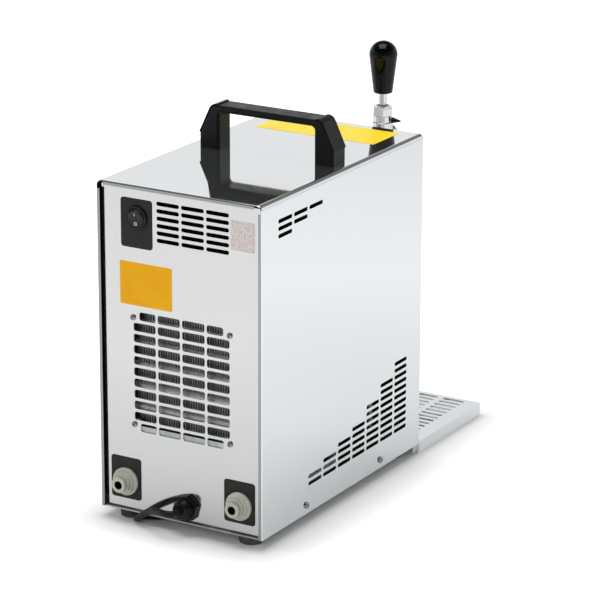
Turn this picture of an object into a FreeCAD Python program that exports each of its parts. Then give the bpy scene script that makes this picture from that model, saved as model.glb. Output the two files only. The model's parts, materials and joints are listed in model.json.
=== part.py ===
import FreeCAD, Part
import math
import os
import re
import Sketcher
from FreeCAD import Placement, Rotation, Vector

# Portable dry cooler for beer: a stainless housing with a refrigerated block, a
# built-in air pump, a compensator tap on the front and a drip tray before it.
# Millimetres, +Z up. Front is -Y, the back with switch, vents and hose
# connectors is +Y. The origin is under the middle of the whole machine, on the floor.

doc = FreeCAD.newDocument("beer_cooler")
sheet = doc.addObject("Spreadsheet::Sheet", "sizes")
nodes = []

# Driving sizes, in the order in which the machine goes together
SIZES = {
    # housing
    "cabinet_wide": 178, "cabinet_deep": 303, "cabinet_high": 320,
    "cover_sheet": 1.0, "cover_bend": 5, "flange_wide": 3.8, "flange_bend": 1.4,
    "notch_wide": 8, "panel_recess": 4, "panel_sheet": 1.0, "panel_side_gap": 2.6,
    "panel_top_gap": 1.4, "panel_lip": 9, "base_sheet": 1.2, "base_rim": 14,
    "overrun": 3, "hole_gap": 0.1, "fit_gap": 0.05,
    # rubber feet, small screws and their nuts
    "foot_high": 11, "foot_radius": 12.5, "foot_taper": 1, "foot_round": 1.5,
    "foot_across": 132, "foot_along": 264, "foot_well": 4.2, "foot_well_deep": 6,
    "small_shank": 2, "small_head": 3.3, "small_head_high": 2.2, "small_head_round": 1,
    "foot_screw_long": 12, "small_nut_across": 7, "small_nut_high": 3.2,
    "side_screw_along": 142, "side_screw_high": 8.6, "side_screw_long": 8,
    # louvre slots
    "vent_long": 24.4, "vent_high": 3.9, "vent_round_share": 0.48, "vent_pitch": 7,
    "back_vent_step": 26.7, "back_vent_middle": -13.35, "back_vent_low": 270.3,
    "back_vent_rows": 6, "side_vent_step": 27.6, "side_vent_low": 28.9,
    "side_vent_top": 298.9,
    # condenser grille
    "grille_middle": 139.5, "cell_long": 24.4, "cell_high": 8.1, "cell_pitch": 10.93,
    "cell_step": 26.7, "cell_round_share": 0.3, "cell_corner_cut": 6.6, "cell_rows": 11,
    "grille_screw_span": 105, "grille_screw_long": 5, "grille_head": 2.8,
    "grille_head_high": 2, "grille_shank": 1.5,
    # bridge handle
    "handle_shift": -3, "handle_along": -8.5, "handle_inner": 52.3, "handle_leg": 21.2,
    "handle_foot_high": 14.5, "handle_shoulder": 60, "handle_high": 43, "handle_bar": 7,
    "handle_wide": 22.5, "handle_round": 7, "handle_palm_round": 4, "handle_edge": 1.5,
    "handle_palm_edge": 2.9, "cap_thick": 1, "cap_reach": 6, "handle_screw_out": 63,
    "handle_bolt": 2.5, "handle_bolt_head": 4.2, "handle_bolt_head_high": 4,
    "handle_bolt_seat": 10, "handle_bolt_below": 8, "handle_nut_across": 8,
    "handle_nut_high": 4, "handle_well_gap": 0.3,
    # label plates behind the switch and the hose connectors
    "label_sheet": 0.5, "label_round": 3, "switch_label_across": 47.4,
    "switch_label_wide": 34.2, "switch_label_high": 47, "switch_label_middle": 283.1,
    "hose_label_wide": 33.3, "hose_label_high": 41.5, "hose_label_middle": 31.8,
    # mains switch
    "switch_across": 46.9, "switch_height": 288.8, "bezel_radius": 11.4, "bezel_high": 2,
    "bezel_round": 0.6, "switch_barrel": 10.4, "switch_deep": 19, "switch_well": 8.5,
    "rocker_radius": 9.3, "rocker_gap": 0.06, "rocker_pivot_in": 1, "rocker_back": 5,
    "rocker_dip": 3.2, "rocker_rise": 2, "rocker_pin": 1.1, "rocker_pin_end": 0.5,
    # cable gland
    "gland_across": -4.7, "gland_height": 15.2, "gland_hex": 23.6, "gland_hex_high": 5,
    "gland_hex_spin": 15, "gland_barrel": 9.5, "gland_barrel_long": 14,
    "gland_dome_high": 8, "gland_dome_radius": 10.2, "gland_nose_radius": 7.8,
    "gland_dome_round": 3, "gland_nut_across": 23, "gland_nut_high": 4.5,
    # push-fit hose connectors
    "hose_across": 62.6, "hose_height": 28.4, "hose_flange": 13.6, "hose_flange_high": 3,
    "hose_ring": 10.8, "hose_ring_high": 3, "hose_neck": 9.1, "hose_neck_high": 4,
    "hose_edge": 0.8, "hose_chamber": 6.2, "hose_chamber_deep": 6, "hose_seat_deep": 6,
    "hose_tube": 4.05, "hose_through": 2.2, "hose_barrel": 9.6, "hose_barrel_long": 19,
    "hose_barb": 3.4, "hose_barb_long": 10, "collet_gap": 0.08, "collet_rim": 7.6,
    "collet_rim_high": 2, "collet_travel": 1.5, "collet_spare": 0.5,
    "hose_nut_across": 24, "hose_nut_high": 6,
    # tap shank and body
    "tap_height": 287, "tap_reach": 81.5, "shank_radius": 11, "shank_inside": 20,
    "shank_outside": 18, "rosette_radius": 22, "rosette_high": 3, "shank_nut_across": 30,
    "shank_nut_high": 8, "coupling_radius": 16.5, "coupling_long": 17, "coupling_off": 9,
    "coupling_round": 1.5, "coupling_lip": 5, "tail_radius": 9.5, "barrel_radius": 13.5,
    "barrel_nose": 14.5, "barrel_nose_round": 5,
    "barrel_bore": 5, "valve_radius": 10.2, "valve_round": 0.8, "valve_low": 45,
    "valve_taper": 9, "spout_radius": 7.5, "spout_low": 94, "spout_bore": 4.8,
    # tap lever, its collar and its handle
    "collar_top": 0.2, "collar_high": 9.6, "collar_radius": 8.9, "collar_hex": 18.6,
    "collar_hex_high": 8, "collar_thread": 8.2, "ball_down": 6, "ball_radius": 6.5,
    "ball_gap": 0.06, "lip_high": 5.2, "lip_radius": 5.1, "lip_flare": 7.4,
    "cup_below": 0.3, "cup_bore": 5.6, "cup_bore_deep": 21, "lever_finger": 1.5,
    "lever_finger_long": 11, "lever_neck": 2.8, "lever_neck_high": 9, "lever_stem": 4.5,
    "lever_stud": 3, "lever_stud_long": 22, "knob_bottom": 13.8, "knob_high": 53,
    "knob_foot": 9.5, "knob_top": 16, "knob_dome": 13.9, "knob_foot_round": 1.2,
    # flow control ring under the collar, with its lever and tip
    "flow_ring": 9.7, "flow_ring_high": 6.2, "flow_gap": 0.06, "flow_lift": 0.2,
    "flow_arm": 2.1, "flow_arm_up": 2.3, "flow_tip_start": 11, "flow_tip_end": 20.5,
    "flow_tip_wide": 3.2, "flow_tip_narrow": 0.8, "flow_tip_bite": 4,
    # drip tray and grid
    "tray_wide": 180, "tray_stand_out": 132.5, "tray_gap": 0.3, "tray_sheet": 1,
    "tray_high": 11.2, "tray_tongue": 6, "tray_tongue_high": 9.4, "tray_ledge": 3.5,
    "tray_corner": 3, "grid_sheet": 1, "grid_high": 2.8, "grid_slot_long": 24.4,
    "grid_slot_wide": 4.4, "grid_slot_step": 30.9, "grid_slot_pitch": 9.47,
    "grid_slot_first": 7.8, "grid_rows": 13,
    # condenser
    "fin_sheet": 0.6, "fin_pitch": 3.7, "fin_count": 29, "fin_deep": 34, "fin_high": 117.4,
    "fin_back": 5, "coil_tube": 3.2, "coil_tube_wall": 0.8, "coil_rows": 5,
    "coil_step": 20.9, "coil_rise": 5.7, "coil_proud": 1, "coil_reach": 58,
    "frame_sheet": 1, "frame_half": 55, "frame_high": 120, "frame_tab": 7,
    "frame_tab_high": 12, "frame_sill": 5.5,
    # fan
    "fan_side": 119, "fan_thick": 25, "fan_bore": 57, "fan_hub": 19, "fan_hub_plate": 6,
    "fan_strut": 5, "fan_strut_thick": 3, "fan_pin": 2, "fan_pin_gap": 0.06,
    "fan_blade_tip": 55, "fan_blade_root": 17, "fan_blade_thick": 1.8,
    "fan_blade_run": 10, "fan_blade_rise": 6, "fan_rotor_deep": 17, "fan_clear": 0.8,
    "fan_blades": 7,
    # compressor
    "pump_radius": 62, "pump_high": 128, "pump_round": 26, "pump_back": 45,
    "pump_lift": 12, "pump_plate": 100, "pump_plate_sheet": 2, "pump_mount_span": 84,
    "mount_radius": 8, "terminal_wide": 44, "terminal_deep": 24, "terminal_high": 40,
    "terminal_lift": 40, "terminal_out": 10,
    # shelf and cooling block
    "shelf_high": 177, "shelf_sheet": 1.2, "shelf_half": 73, "shelf_front": 110,
    "shelf_back": 74, "post_radius": 3.5, "post_inset": 12, "shell_half": 70,
    "shell_front": 100, "shell_back": 66, "shell_high": 124, "shell_wall": 20,
    # bracket over the condenser with air pump and thermostat box
    "bracket_sheet": 1.2, "bracket_half": 74, "bracket_deep": 62, "bracket_leaf": 8,
    "air_pump_wide": 62, "air_pump_deep": 46, "air_pump_high": 52, "air_pump_in": 10,
    "air_pump_back": 8, "air_pump_round": 6, "relay_wide": 60, "relay_deep": 40,
    "relay_high": 46, "relay_in": 12, "relay_round": 3,
    # lines inside
    "line_radius": 4.8, "line_wall": 1.35, "line_bend": 8, "line_bite": 8,
    "copper_radius": 3, "copper_wall": 0.8, "capillary_radius": 1.4, "capillary_wall": 0.6,
    "capillary_bend": 4, "drier_radius": 7, "drier_long": 50, "drier_cone": 6,
    "pipe_channel": 79.5, "discharge_channel": 69, "side_channel": 80,
    "stub_across": 20, "stub_up": 26, "air_channel_in": 40, "suction_high": 250,
    "capillary_high": 225, "beer_in_high": 240, "beer_in_along": 5,
    # mains lead inside, mains cord outside, its coil and its plug
    "cord_radius": 3.2, "lead_bend": 12, "lead_in": 32, "coil_across": 141,
    "coil_along": -24, "coil_outer": 44.8, "coil_pitch": 7, "coil_climb": 7,
    "coil_turns_in": 3, "coil_turns_out": 2.5, "plug_radius": 18, "plug_rim": 9,
    "plug_waist": 13, "plug_neck": 6, "plug_neck_long": 10, "plug_long": 42,
    "plug_round": 2, "pin_radius": 2.4, "pin_span": 19, "pin_long": 19, "pin_bite": 6,
}

for row, (alias, size) in enumerate(SIZES.items(), start=1):
    sheet.set(f"A{row}", alias)
    sheet.set(f"B{row}", str(size))
    sheet.setAlias(f"B{row}", alias)
doc.recompute()

# Places that several pieces share, as sums of the sizes above.
# MIDDLE is the Y of the cabinet's middle: the tray and the collets reach equally far
# from the origin, one to the front and the other to the back.
CONNECTOR_OUT = ("(label_sheet + hose_flange_high + hose_ring_high + hose_neck_high"
                 " + collet_travel + collet_spare + collet_rim_high)")
MIDDLE = f"((tray_stand_out + panel_recess - {CONNECTOR_OUT}) / 2)"
BACK = f"({MIDDLE} + cabinet_deep / 2)"
FRONT = f"({MIDDLE} - cabinet_deep / 2)"
PANEL = f"({BACK} - panel_recess)"
FACE = f"({FRONT} + panel_recess)"
TOP = "(foot_high + cabinet_high)"
FLOOR = "(foot_high + base_sheet)"
PANEL_HALF = "(cabinet_wide / 2 - cover_sheet - panel_side_gap)"
TAP_Y = f"({FACE} - tap_reach)"
TAP_Z = "(foot_high + tap_height)"
BALL = f"({TOP} - ball_down)"


# Short tools for binding sizes, sketching and joining

def refer(word):
    if word.group() in SIZES:
        return "sizes." + word.group()
    return word.group()


def on_sheet(text):
    """The same sum with every size read from the sheet."""
    return re.sub(r"[a-z][a-z_]+", refer, text)


def number(text):
    """What a sum of sizes comes to now."""
    return float(sheet.evalExpression(on_sheet(text)))


def bind(item, name, text):
    item.setExpression(name, on_sheet(text))


def keep(node, item):
    """Mark a finished piece for its own file."""
    item.Label = node
    nodes.append(item)
    return item


SWINGS = {
    "+Z": Rotation(),
    "+Y": Rotation(Vector(1, 0, 0), -90),
    "-Y": Rotation(Vector(1, 0, 0), 90),
    "+X": Rotation(Vector(0, 1, 0), 90),
    "-X": Rotation(Vector(0, 1, 0), -90),
}


def place(item, x="0", y="0", z="0", towards="+Z"):
    """Swing the item's own Z axis towards a direction and move it."""
    item.Placement = Placement(Vector(), SWINGS[towards])
    for name, text in zip("xyz", (x, y, z)):
        if text != "0":
            bind(item, "Placement.Base." + name, text)
    return item


def body(node):
    return doc.addObject("PartDesign::Body", node)


def sketch(owner, role, offset="0"):
    drawing = owner.newObject("Sketcher::SketchObject", owner.Name + "_sketch")
    plane = [item for item in owner.Origin.OriginFeatures if item.Role == role]
    drawing.AttachmentSupport = (plane[0], [""])
    drawing.MapMode = "FlatFace"
    if offset != "0":
        bind(drawing, "AttachmentOffset.Base.z", offset)
    return drawing


def tie(drawing, kind, geometry, corner, text):
    """Hold one coordinate of a point at a sum of sizes."""
    axis = {"DistanceX": -2, "DistanceY": -1}[kind]
    if text == "0":
        drawing.addConstraint(Sketcher.Constraint("PointOnObject", geometry, corner, axis))
        return
    value = number(text)
    index = drawing.addConstraint(Sketcher.Constraint(kind, -1, 1, geometry, corner, value))
    bind(drawing, f"Constraints[{index}]", text)


def tie_point(drawing, geometry, corner, across, up):
    tie(drawing, "DistanceX", geometry, corner, across)
    tie(drawing, "DistanceY", geometry, corner, up)


def round_corner(drawing, before, after, start, place_at, end, corner):
    """Join two lines by a tangent arc whose lines still meet at the corner."""
    radius = number(corner[2])
    back = (start - place_at).normalize()
    ahead = (end - place_at).normalize()
    half = back.getAngle(ahead) / 2
    centre = place_at + (back + ahead).normalize() * (radius / math.sin(half))
    middle = centre + (place_at - centre).normalize() * radius
    arc = drawing.addGeometry(Part.Arc(start, middle, end))
    turning = (start - centre).cross(end - centre).z > 0
    entry = 1 if turning else 2
    leave = 2 if turning else 1
    drawing.addConstraint(Sketcher.Constraint("Tangent", before, 2, arc, entry))
    drawing.addConstraint(Sketcher.Constraint("Tangent", after, 1, arc, leave))
    index = drawing.addConstraint(Sketcher.Constraint("Radius", arc, radius))
    bind(drawing, f"Constraints[{index}]", corner[2])
    point = drawing.addGeometry(Part.Point(place_at), True)
    drawing.addConstraint(Sketcher.Constraint("PointOnObject", point, 1, before))
    drawing.addConstraint(Sketcher.Constraint("PointOnObject", point, 1, after))
    tie_point(drawing, point, 1, corner[0], corner[1])


def outline(drawing, corners):
    """A closed run of lines through the corners; a third entry rounds that corner."""
    places = [Vector(number(corner[0]), number(corner[1]), 0) for corner in corners]
    count = len(corners)
    starts = []
    ends = []
    for i, corner in enumerate(corners):
        here = places[i]
        back = (places[i - 1] - here).normalize()
        ahead = (places[(i + 1) % count] - here).normalize()
        reach = 0
        if len(corner) == 3:
            reach = number(corner[2]) / math.tan(back.getAngle(ahead) / 2)
        starts.append(here + back * reach)
        ends.append(here + ahead * reach)
    lines = []
    for i in range(count):
        line = Part.LineSegment(ends[i], starts[(i + 1) % count])
        lines.append(drawing.addGeometry(line))
    for i, corner in enumerate(corners):
        before = lines[i - 1]
        after = lines[i]
        if len(corner) == 3:
            round_corner(drawing, before, after, starts[i], places[i], ends[i], corner)
        else:
            drawing.addConstraint(Sketcher.Constraint("Coincident", before, 2, after, 1))
            tie_point(drawing, after, 1, corner[0], corner[1])
    return drawing


def rectangle(drawing, across, up, wide, high, turn=None):
    """A rectangle about a middle point, its corners rounded by turn."""
    corners = []
    for side, rise in (("-", "-"), ("+", "-"), ("+", "+"), ("-", "+")):
        corner = (f"{across} {side} {wide} / 2", f"{up} {rise} {high} / 2")
        corners.append(corner + ((turn,) if turn else ()))
    return outline(drawing, corners)


def hoop(drawing, across, up, radius):
    middle = Vector(number(across), number(up), 0)
    circle = drawing.addGeometry(Part.Circle(middle, Vector(0, 0, 1), number(radius)))
    tie_point(drawing, circle, 3, across, up)
    index = drawing.addConstraint(Sketcher.Constraint("Radius", circle, number(radius)))
    bind(drawing, f"Constraints[{index}]", radius)


def pad(owner, drawing, length, midplane=False, reverse=False):
    item = owner.newObject("PartDesign::Pad", owner.Name + "_pad")
    item.Profile = drawing
    bind(item, "Length", length)
    item.Midplane = midplane
    item.Reversed = reverse
    return item


def pocket(owner, drawing, length=None, midplane=False, reverse=False):
    """Cut the drawing through everything, or to a length."""
    item = owner.newObject("PartDesign::Pocket", owner.Name + "_pocket")
    item.Profile = drawing
    if length is None:
        item.Type = "ThroughAll"
        item.Midplane = not reverse
    else:
        bind(item, "Length", length)
        item.Midplane = midplane
    item.Reversed = reverse
    return item


def repeat(owner, feature, drawing, pitch, count):
    """Repeat a feature upwards in its drawing."""
    item = owner.newObject("PartDesign::LinearPattern", owner.Name + "_rows")
    item.Originals = [feature]
    item.Direction = (drawing, ["V_Axis"])
    item.Mode = "Spacing"
    bind(item, "Offset", pitch)
    bind(item, "Occurrences", count)
    owner.Tip = item
    return item


def soften(owner, base, test, radius):
    """Round the edges of a feature that pass a test."""
    doc.recompute()
    chosen = [f"Edge{i}" for i, edge in enumerate(base.Shape.Edges, start=1) if test(edge)]
    item = owner.newObject("PartDesign::Fillet", owner.Name + "_round")
    item.Base = (base, chosen)
    bind(item, "Radius", radius)
    return item


def turned(name, corners, towards="+Z", x="0", y="0", z="0"):
    """A piece turned about its own Z axis from corners (radius, height)."""
    owner = body(name)
    drawing = sketch(owner, "XZ_Plane")
    outline(drawing, corners)
    spin = owner.newObject("PartDesign::Revolution", name + "_turn")
    spin.Profile = drawing
    spin.ReferenceAxis = (drawing, ["V_Axis"])
    spin.Angle = 360
    return place(owner, x, y, z, towards)


def brick(name, x, y, z, wide, deep, high):
    item = doc.addObject("Part::Box", name)
    bind(item, "Length", wide)
    bind(item, "Width", deep)
    bind(item, "Height", high)
    return place(item, x, y, z)


def rod(name, radius, length, x="0", y="0", z="0", towards="+Z"):
    item = doc.addObject("Part::Cylinder", name)
    bind(item, "Radius", radius)
    bind(item, "Height", length)
    return place(item, x, y, z, towards)


def hexagon(name, across, length, x="0", y="0", z="0", towards="+Z"):
    item = doc.addObject("Part::Prism", name)
    item.Polygon = 6
    bind(item, "Circumradius", f"{across} / sqrt(3)")
    bind(item, "Height", length)
    return place(item, x, y, z, towards)


def ball(name, radius, x="0", y="0", z="0"):
    item = doc.addObject("Part::Sphere", name)
    bind(item, "Radius", radius)
    return place(item, x, y, z)


def joined(name, *pieces):
    item = doc.addObject("Part::MultiFuse", name)
    item.Shapes = list(pieces)
    return item


def less(name, base, *tools):
    """The base with the tools cut away."""
    item = doc.addObject("Part::Cut", name)
    item.Base = base
    item.Tool = tools[0] if len(tools) == 1 else joined(name + "_tools", *tools)
    return item


def group(name, *pieces):
    item = doc.addObject("Part::Compound", name)
    item.Links = list(pieces)
    return item


def mirrored(source, axis, text="0"):
    """The source mirrored in a plane across an axis at a sum of sizes."""
    item = doc.addObject("Part::Mirroring", source.Name + "_other_" + axis)
    item.Source = source
    item.Normal = {"x": Vector(1, 0, 0), "y": Vector(0, 1, 0)}[axis]
    if text != "0":
        bind(item, "Base." + axis, text)
    return item


def pair(name, source, text="0"):
    """The source and its mirror image across X."""
    return group(name, source, mirrored(source, "x", text))


def four(name, source):
    """The source at the four corners of the cabinet's middle."""
    side = pair(name + "_side", source)
    return group(name, side, mirrored(side, "y", MIDDLE))


def nut(name, across, high, bore, x="0", y="0", z="0", towards="+Z"):
    """A hexagon nut; its length is taken with some overrun for the bore."""
    blank = hexagon(name + "_blank", across, high, x, y, z, towards)
    hole = rod(name + "_bore", bore, high, x, y, z, towards)
    return less(name, blank, hole)


def screw(name, head, head_high, shank, length, towards, x, y, z):
    """A pan head screw with its seat at the given place and its head outwards."""
    corners = [
        ("0", f"-{length}"), (shank, f"-{length}"), (shank, "0"), (head, "0"),
        (head, head_high, f"{head_high} / 2"), ("0", head_high),
    ]
    return turned(name, corners, towards, x, y, z)


# Cover: one sheet bent over the top and both sides, with return flanges front and back

def hood(inset, bend):
    """The cover's section, open below, taken in by inset."""
    half = f"(cabinet_wide / 2 - {inset})"
    low = "0" if inset == "0" else "-overrun"
    high = f"cabinet_high - {inset}"
    return [(f"-{half}", low), (half, low), (half, high, bend), (f"-{half}", high, bend)]


def on_an_end(edge):
    """True for an edge of the cover's front or back end that isn't its bottom edge."""
    end = number("cabinet_deep / 2")
    ys = [abs(abs(corner.Y) - end) < 1e-6 for corner in edge.Vertexes]
    zs = [abs(corner.Z) < 1e-6 for corner in edge.Vertexes]
    return all(ys) and not all(zs) and edge.BoundBox.YLength < 1e-6


def cover_mouth():
    """What the return flanges leave open at each end, notched at the top corners."""
    half = "(cabinet_wide / 2 - flange_wide)"
    inner = "(cabinet_wide / 2 - cover_sheet)"
    notch = "(cabinet_wide / 2 - notch_wide)"
    bend = "cover_bend - cover_sheet"
    right = [
        (half, "-overrun"), (half, "cabinet_high - notch_wide"),
        (inner, "cabinet_high - notch_wide"), (inner, "cabinet_high - cover_sheet", bend),
        (notch, "cabinet_high - cover_sheet"), (notch, "cabinet_high - flange_wide"),
    ]
    left = [(f"-{corner[0]}",) + corner[1:] for corner in reversed(right)]
    return right + left


def side_louvres(owner):
    """Slots through both sides: a staircase low down and a small one high at the back."""
    for step, count in ((2, 2), (1, 3), (0, 4), (-1, 5), (-2, 7), (-3, 9), (-4, 11)):
        louvre_column(owner, f"{step} * side_vent_step", "side_vent_low", count)
    for step, count in ((4, 3), (3, 2), (2, 1)):
        low = f"side_vent_top - {count - 1} * vent_pitch"
        louvre_column(owner, f"{step} * side_vent_step", low, count)


def louvre_column(owner, along, low, count):
    drawing = sketch(owner, "YZ_Plane")
    rectangle(drawing, along, low, "vent_long", "vent_high", "vent_high * vent_round_share")
    slot = pocket(owner, drawing)
    if count > 1:
        repeat(owner, slot, drawing, "vent_pitch", str(count))


def make_cover():
    owner = body("cover")
    place(owner, "0", MIDDLE, "foot_high")
    whole = pad(owner, outline(sketch(owner, "XZ_Plane"), hood("0", "cover_bend")),
                "cabinet_deep", midplane=True)
    soften(owner, whole, on_an_end, "flange_bend")
    core = outline(sketch(owner, "XZ_Plane"), hood("cover_sheet", "cover_bend - cover_sheet"))
    pocket(owner, core, "cabinet_deep - 2 * cover_sheet", midplane=True)
    pocket(owner, outline(sketch(owner, "XZ_Plane"), cover_mouth()))
    screw_holes = sketch(owner, "YZ_Plane")
    for side in ("", "-"):
        hoop(screw_holes, f"{side}side_screw_along / 2", "side_screw_high",
             "small_shank + hole_gap")
    pocket(owner, screw_holes)
    bolt_holes = sketch(owner, "XY_Plane")
    for side in ("+", "-"):
        hoop(bolt_holes, f"handle_shift {side} handle_screw_out", "handle_along",
             "handle_bolt + hole_gap")
    pocket(owner, bolt_holes)
    side_louvres(owner)
    keep("cover", owner)


# Rear and front panels: sheets with a lip at the bottom and the top, set back in the cover

def panel_blank(node, y, turn_round):
    """The bare panel; its outer face is its own XZ plane."""
    owner = body(node)
    place(owner, "0", y, "foot_high")
    if turn_round:
        owner.Placement = Placement(owner.Placement.Base, Rotation(Vector(0, 0, 1), 180))
        bind(owner, "Placement.Base.y", y)
        bind(owner, "Placement.Base.z", "foot_high")
    high = "(cabinet_high - cover_sheet - panel_top_gap)"
    section = [
        ("0", "base_sheet", "flange_bend"), ("0", high, "flange_bend"),
        ("-panel_lip", high), ("-panel_lip", f"{high} - panel_sheet"),
        ("-panel_sheet", f"{high} - panel_sheet"),
        ("-panel_sheet", "base_sheet + panel_sheet"),
        ("-panel_lip", "base_sheet + panel_sheet"), ("-panel_lip", "base_sheet"),
    ]
    pad(owner, outline(sketch(owner, "YZ_Plane"), section), f"2 * {PANEL_HALF}", midplane=True)
    return owner


def back_vents(owner):
    drawing = sketch(owner, "XZ_Plane")
    for step in (-1, 0, 1):
        rectangle(drawing, f"back_vent_middle + {step} * back_vent_step", "back_vent_low",
                  "vent_long", "vent_high", "vent_high * vent_round_share")
    repeat(owner, pocket(owner, drawing), drawing, "vent_pitch", "back_vent_rows")


def grille_cells(owner):
    """Four columns of cells; the four at the corners are cut short beside the screws."""
    corner = "cell_high * cell_round_share"
    low = "grille_middle - (cell_rows - 1) / 2 * cell_pitch"
    full = sketch(owner, "XZ_Plane")
    for step in (-1.5, -0.5, 0.5, 1.5):
        rectangle(full, f"{step} * cell_step", f"{low} + cell_pitch",
                  "cell_long", "cell_high", corner)
    repeat(owner, pocket(owner, full), full, "cell_pitch", "cell_rows - 2")
    ends = sketch(owner, "XZ_Plane")
    for row in (low, f"{low} + (cell_rows - 1) * cell_pitch"):
        for step in (-0.5, 0.5):
            rectangle(ends, f"{step} * cell_step", row, "cell_long", "cell_high", corner)
        for side in (-1, 1):
            rectangle(ends, f"{side} * (1.5 * cell_step - cell_corner_cut / 2)", row,
                      "(cell_long - cell_corner_cut)", "cell_high", corner)
    pocket(owner, ends)


def make_rear_panel():
    owner = panel_blank("rear_panel", PANEL, False)
    back_vents(owner)
    grille_cells(owner)
    holes = sketch(owner, "XZ_Plane")
    for side in ("", "-"):
        for rise in ("+", "-"):
            hoop(holes, f"{side}grille_screw_span / 2",
                 f"grille_middle {rise} grille_screw_span / 2", "grille_shank + hole_gap")
        hoop(holes, f"{side}hose_across", "hose_height", "hose_barrel + hole_gap")
    hoop(holes, "switch_across", "switch_height", "switch_barrel + hole_gap")
    hoop(holes, "gland_across", "gland_height", "gland_barrel + hole_gap")
    pocket(owner, holes)
    keep("rear_panel", owner)


def make_front_panel():
    owner = panel_blank("front_panel", FACE, True)
    hole = sketch(owner, "XZ_Plane")
    hoop(hole, "0", "tap_height", "shank_radius + hole_gap")
    pocket(owner, hole)
    keep("front_panel", owner)


# Base pan, rubber feet and the screws low down

def make_base_pan():
    owner = body("base_pan")
    place(owner, "0", MIDDLE, "foot_high")
    half = "(cabinet_wide / 2 - cover_sheet)"
    inner = f"({half} - base_sheet)"
    section = [
        (f"-{half}", "0"), (half, "0"), (half, "base_rim"), (inner, "base_rim"),
        (inner, "base_sheet"), (f"-{inner}", "base_sheet"), (f"-{inner}", "base_rim"),
        (f"-{half}", "base_rim"),
    ]
    pad(owner, outline(sketch(owner, "XZ_Plane"), section),
        "cabinet_deep - 2 * cover_sheet", midplane=True)
    foot_holes = sketch(owner, "XY_Plane")
    for side in ("", "-"):
        for end in ("", "-"):
            hoop(foot_holes, f"{side}foot_across / 2", f"{end}foot_along / 2",
                 "small_shank + hole_gap")
    pocket(owner, foot_holes)
    rim_holes = sketch(owner, "YZ_Plane")
    for end in ("", "-"):
        hoop(rim_holes, f"{end}side_screw_along / 2", "side_screw_high",
             "small_shank + hole_gap")
    pocket(owner, rim_holes)
    keep("base_pan", owner)


def make_feet():
    x = "foot_across / 2"
    y = f"{MIDDLE} + foot_along / 2"
    hole = "(small_shank + hole_gap)"
    section = [
        (hole, "foot_high"), ("foot_radius", "foot_high"),
        ("foot_radius - foot_taper", "0", "foot_round"), ("foot_well", "0"),
        ("foot_well", "foot_well_deep"), (hole, "foot_well_deep"),
    ]
    keep("feet", four("feet", turned("foot", section, "+Z", x, y)))
    bolt = [
        ("0", "-small_head_high"), ("small_head", "-small_head_high", "small_head_round"),
        ("small_head", "0"), ("small_shank", "0"), ("small_shank", "foot_screw_long"),
        ("0", "foot_screw_long"),
    ]
    foot_screw = turned("foot_screw", bolt, "+Z", x, y, "foot_well_deep")
    foot_nut = nut("foot_nut", "small_nut_across", "small_nut_high", "small_shank + fit_gap",
                   x, y, FLOOR)
    keep("foot_fasteners", group("foot_fasteners", four("foot_screws", foot_screw),
                                 four("foot_nuts", foot_nut)))


def make_cover_screws():
    side = screw("cover_screw", "small_head", "small_head_high", "small_shank",
                 "side_screw_long", "+X", "cabinet_wide / 2",
                 f"{MIDDLE} + side_screw_along / 2", "foot_high + side_screw_high")
    keep("cover_screws", four("cover_screws", side))


# Bridge handle with its end caps, screws and nuts

HANDLE_OUT = "(handle_inner + handle_leg)"
HANDLE_RUN = f"({HANDLE_OUT} - handle_shoulder)"
HANDLE_RISE = "(handle_high - handle_foot_high)"
HANDLE_SLANT = f"sqrt({HANDLE_RUN} ^ 2 + {HANDLE_RISE} ^ 2)"
HANDLE_Y = f"({MIDDLE} + handle_along)"


def palm_edge(edge):
    """True for the long edges around the hand's opening."""
    inner = number("handle_inner") + 1e-6
    low = number("handle_high - handle_bar") + 1e-6
    side = number("handle_wide / 2") - 1e-6
    return (edge.BoundBox.YLength < 1e-6 and abs(edge.BoundBox.YMin) > side
            and max(abs(edge.BoundBox.XMin), abs(edge.BoundBox.XMax)) < inner
            and edge.BoundBox.ZMax < low)


def back_edge(edge):
    """True for the long edges of the handle's outside."""
    inner = number("handle_inner") + 1e-6
    side = number("handle_wide / 2") - 1e-6
    return (edge.BoundBox.YLength < 1e-6 and abs(edge.BoundBox.YMin) > side
            and edge.BoundBox.ZMax > 1e-6 and not palm_edge(edge)
            and (max(abs(edge.BoundBox.XMin), abs(edge.BoundBox.XMax)) > inner
                 or edge.BoundBox.ZMin > number("handle_high") - 1e-6))


def make_handle():
    owner = body("handle")
    place(owner, "handle_shift", HANDLE_Y, TOP)
    under = "handle_high - handle_bar"
    section = [
        ("handle_inner", "0"), (HANDLE_OUT, "0"), (HANDLE_OUT, "handle_foot_high"),
        ("handle_shoulder", "handle_high", "handle_round"),
        ("-handle_shoulder", "handle_high", "handle_round"),
        (f"-{HANDLE_OUT}", "handle_foot_high"), (f"-{HANDLE_OUT}", "0"),
        ("-handle_inner", "0"), ("-handle_inner", under, "handle_palm_round"),
        ("handle_inner", under, "handle_palm_round"),
    ]
    bar = pad(owner, outline(sketch(owner, "XZ_Plane"), section), "handle_wide", midplane=True)
    softer = soften(owner, bar, palm_edge, "handle_palm_edge")
    soften(owner, softer, back_edge, "handle_edge")
    wells = sketch(owner, "XY_Plane", "handle_bolt_seat")
    holes = sketch(owner, "XY_Plane")
    for side in ("", "-"):
        hoop(wells, f"{side}handle_screw_out", "0", "handle_bolt_head + handle_well_gap")
        hoop(holes, f"{side}handle_screw_out", "0", "handle_bolt + hole_gap")
    pocket(owner, wells, reverse=True)
    pocket(owner, holes)
    keep("handle", owner)


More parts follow.
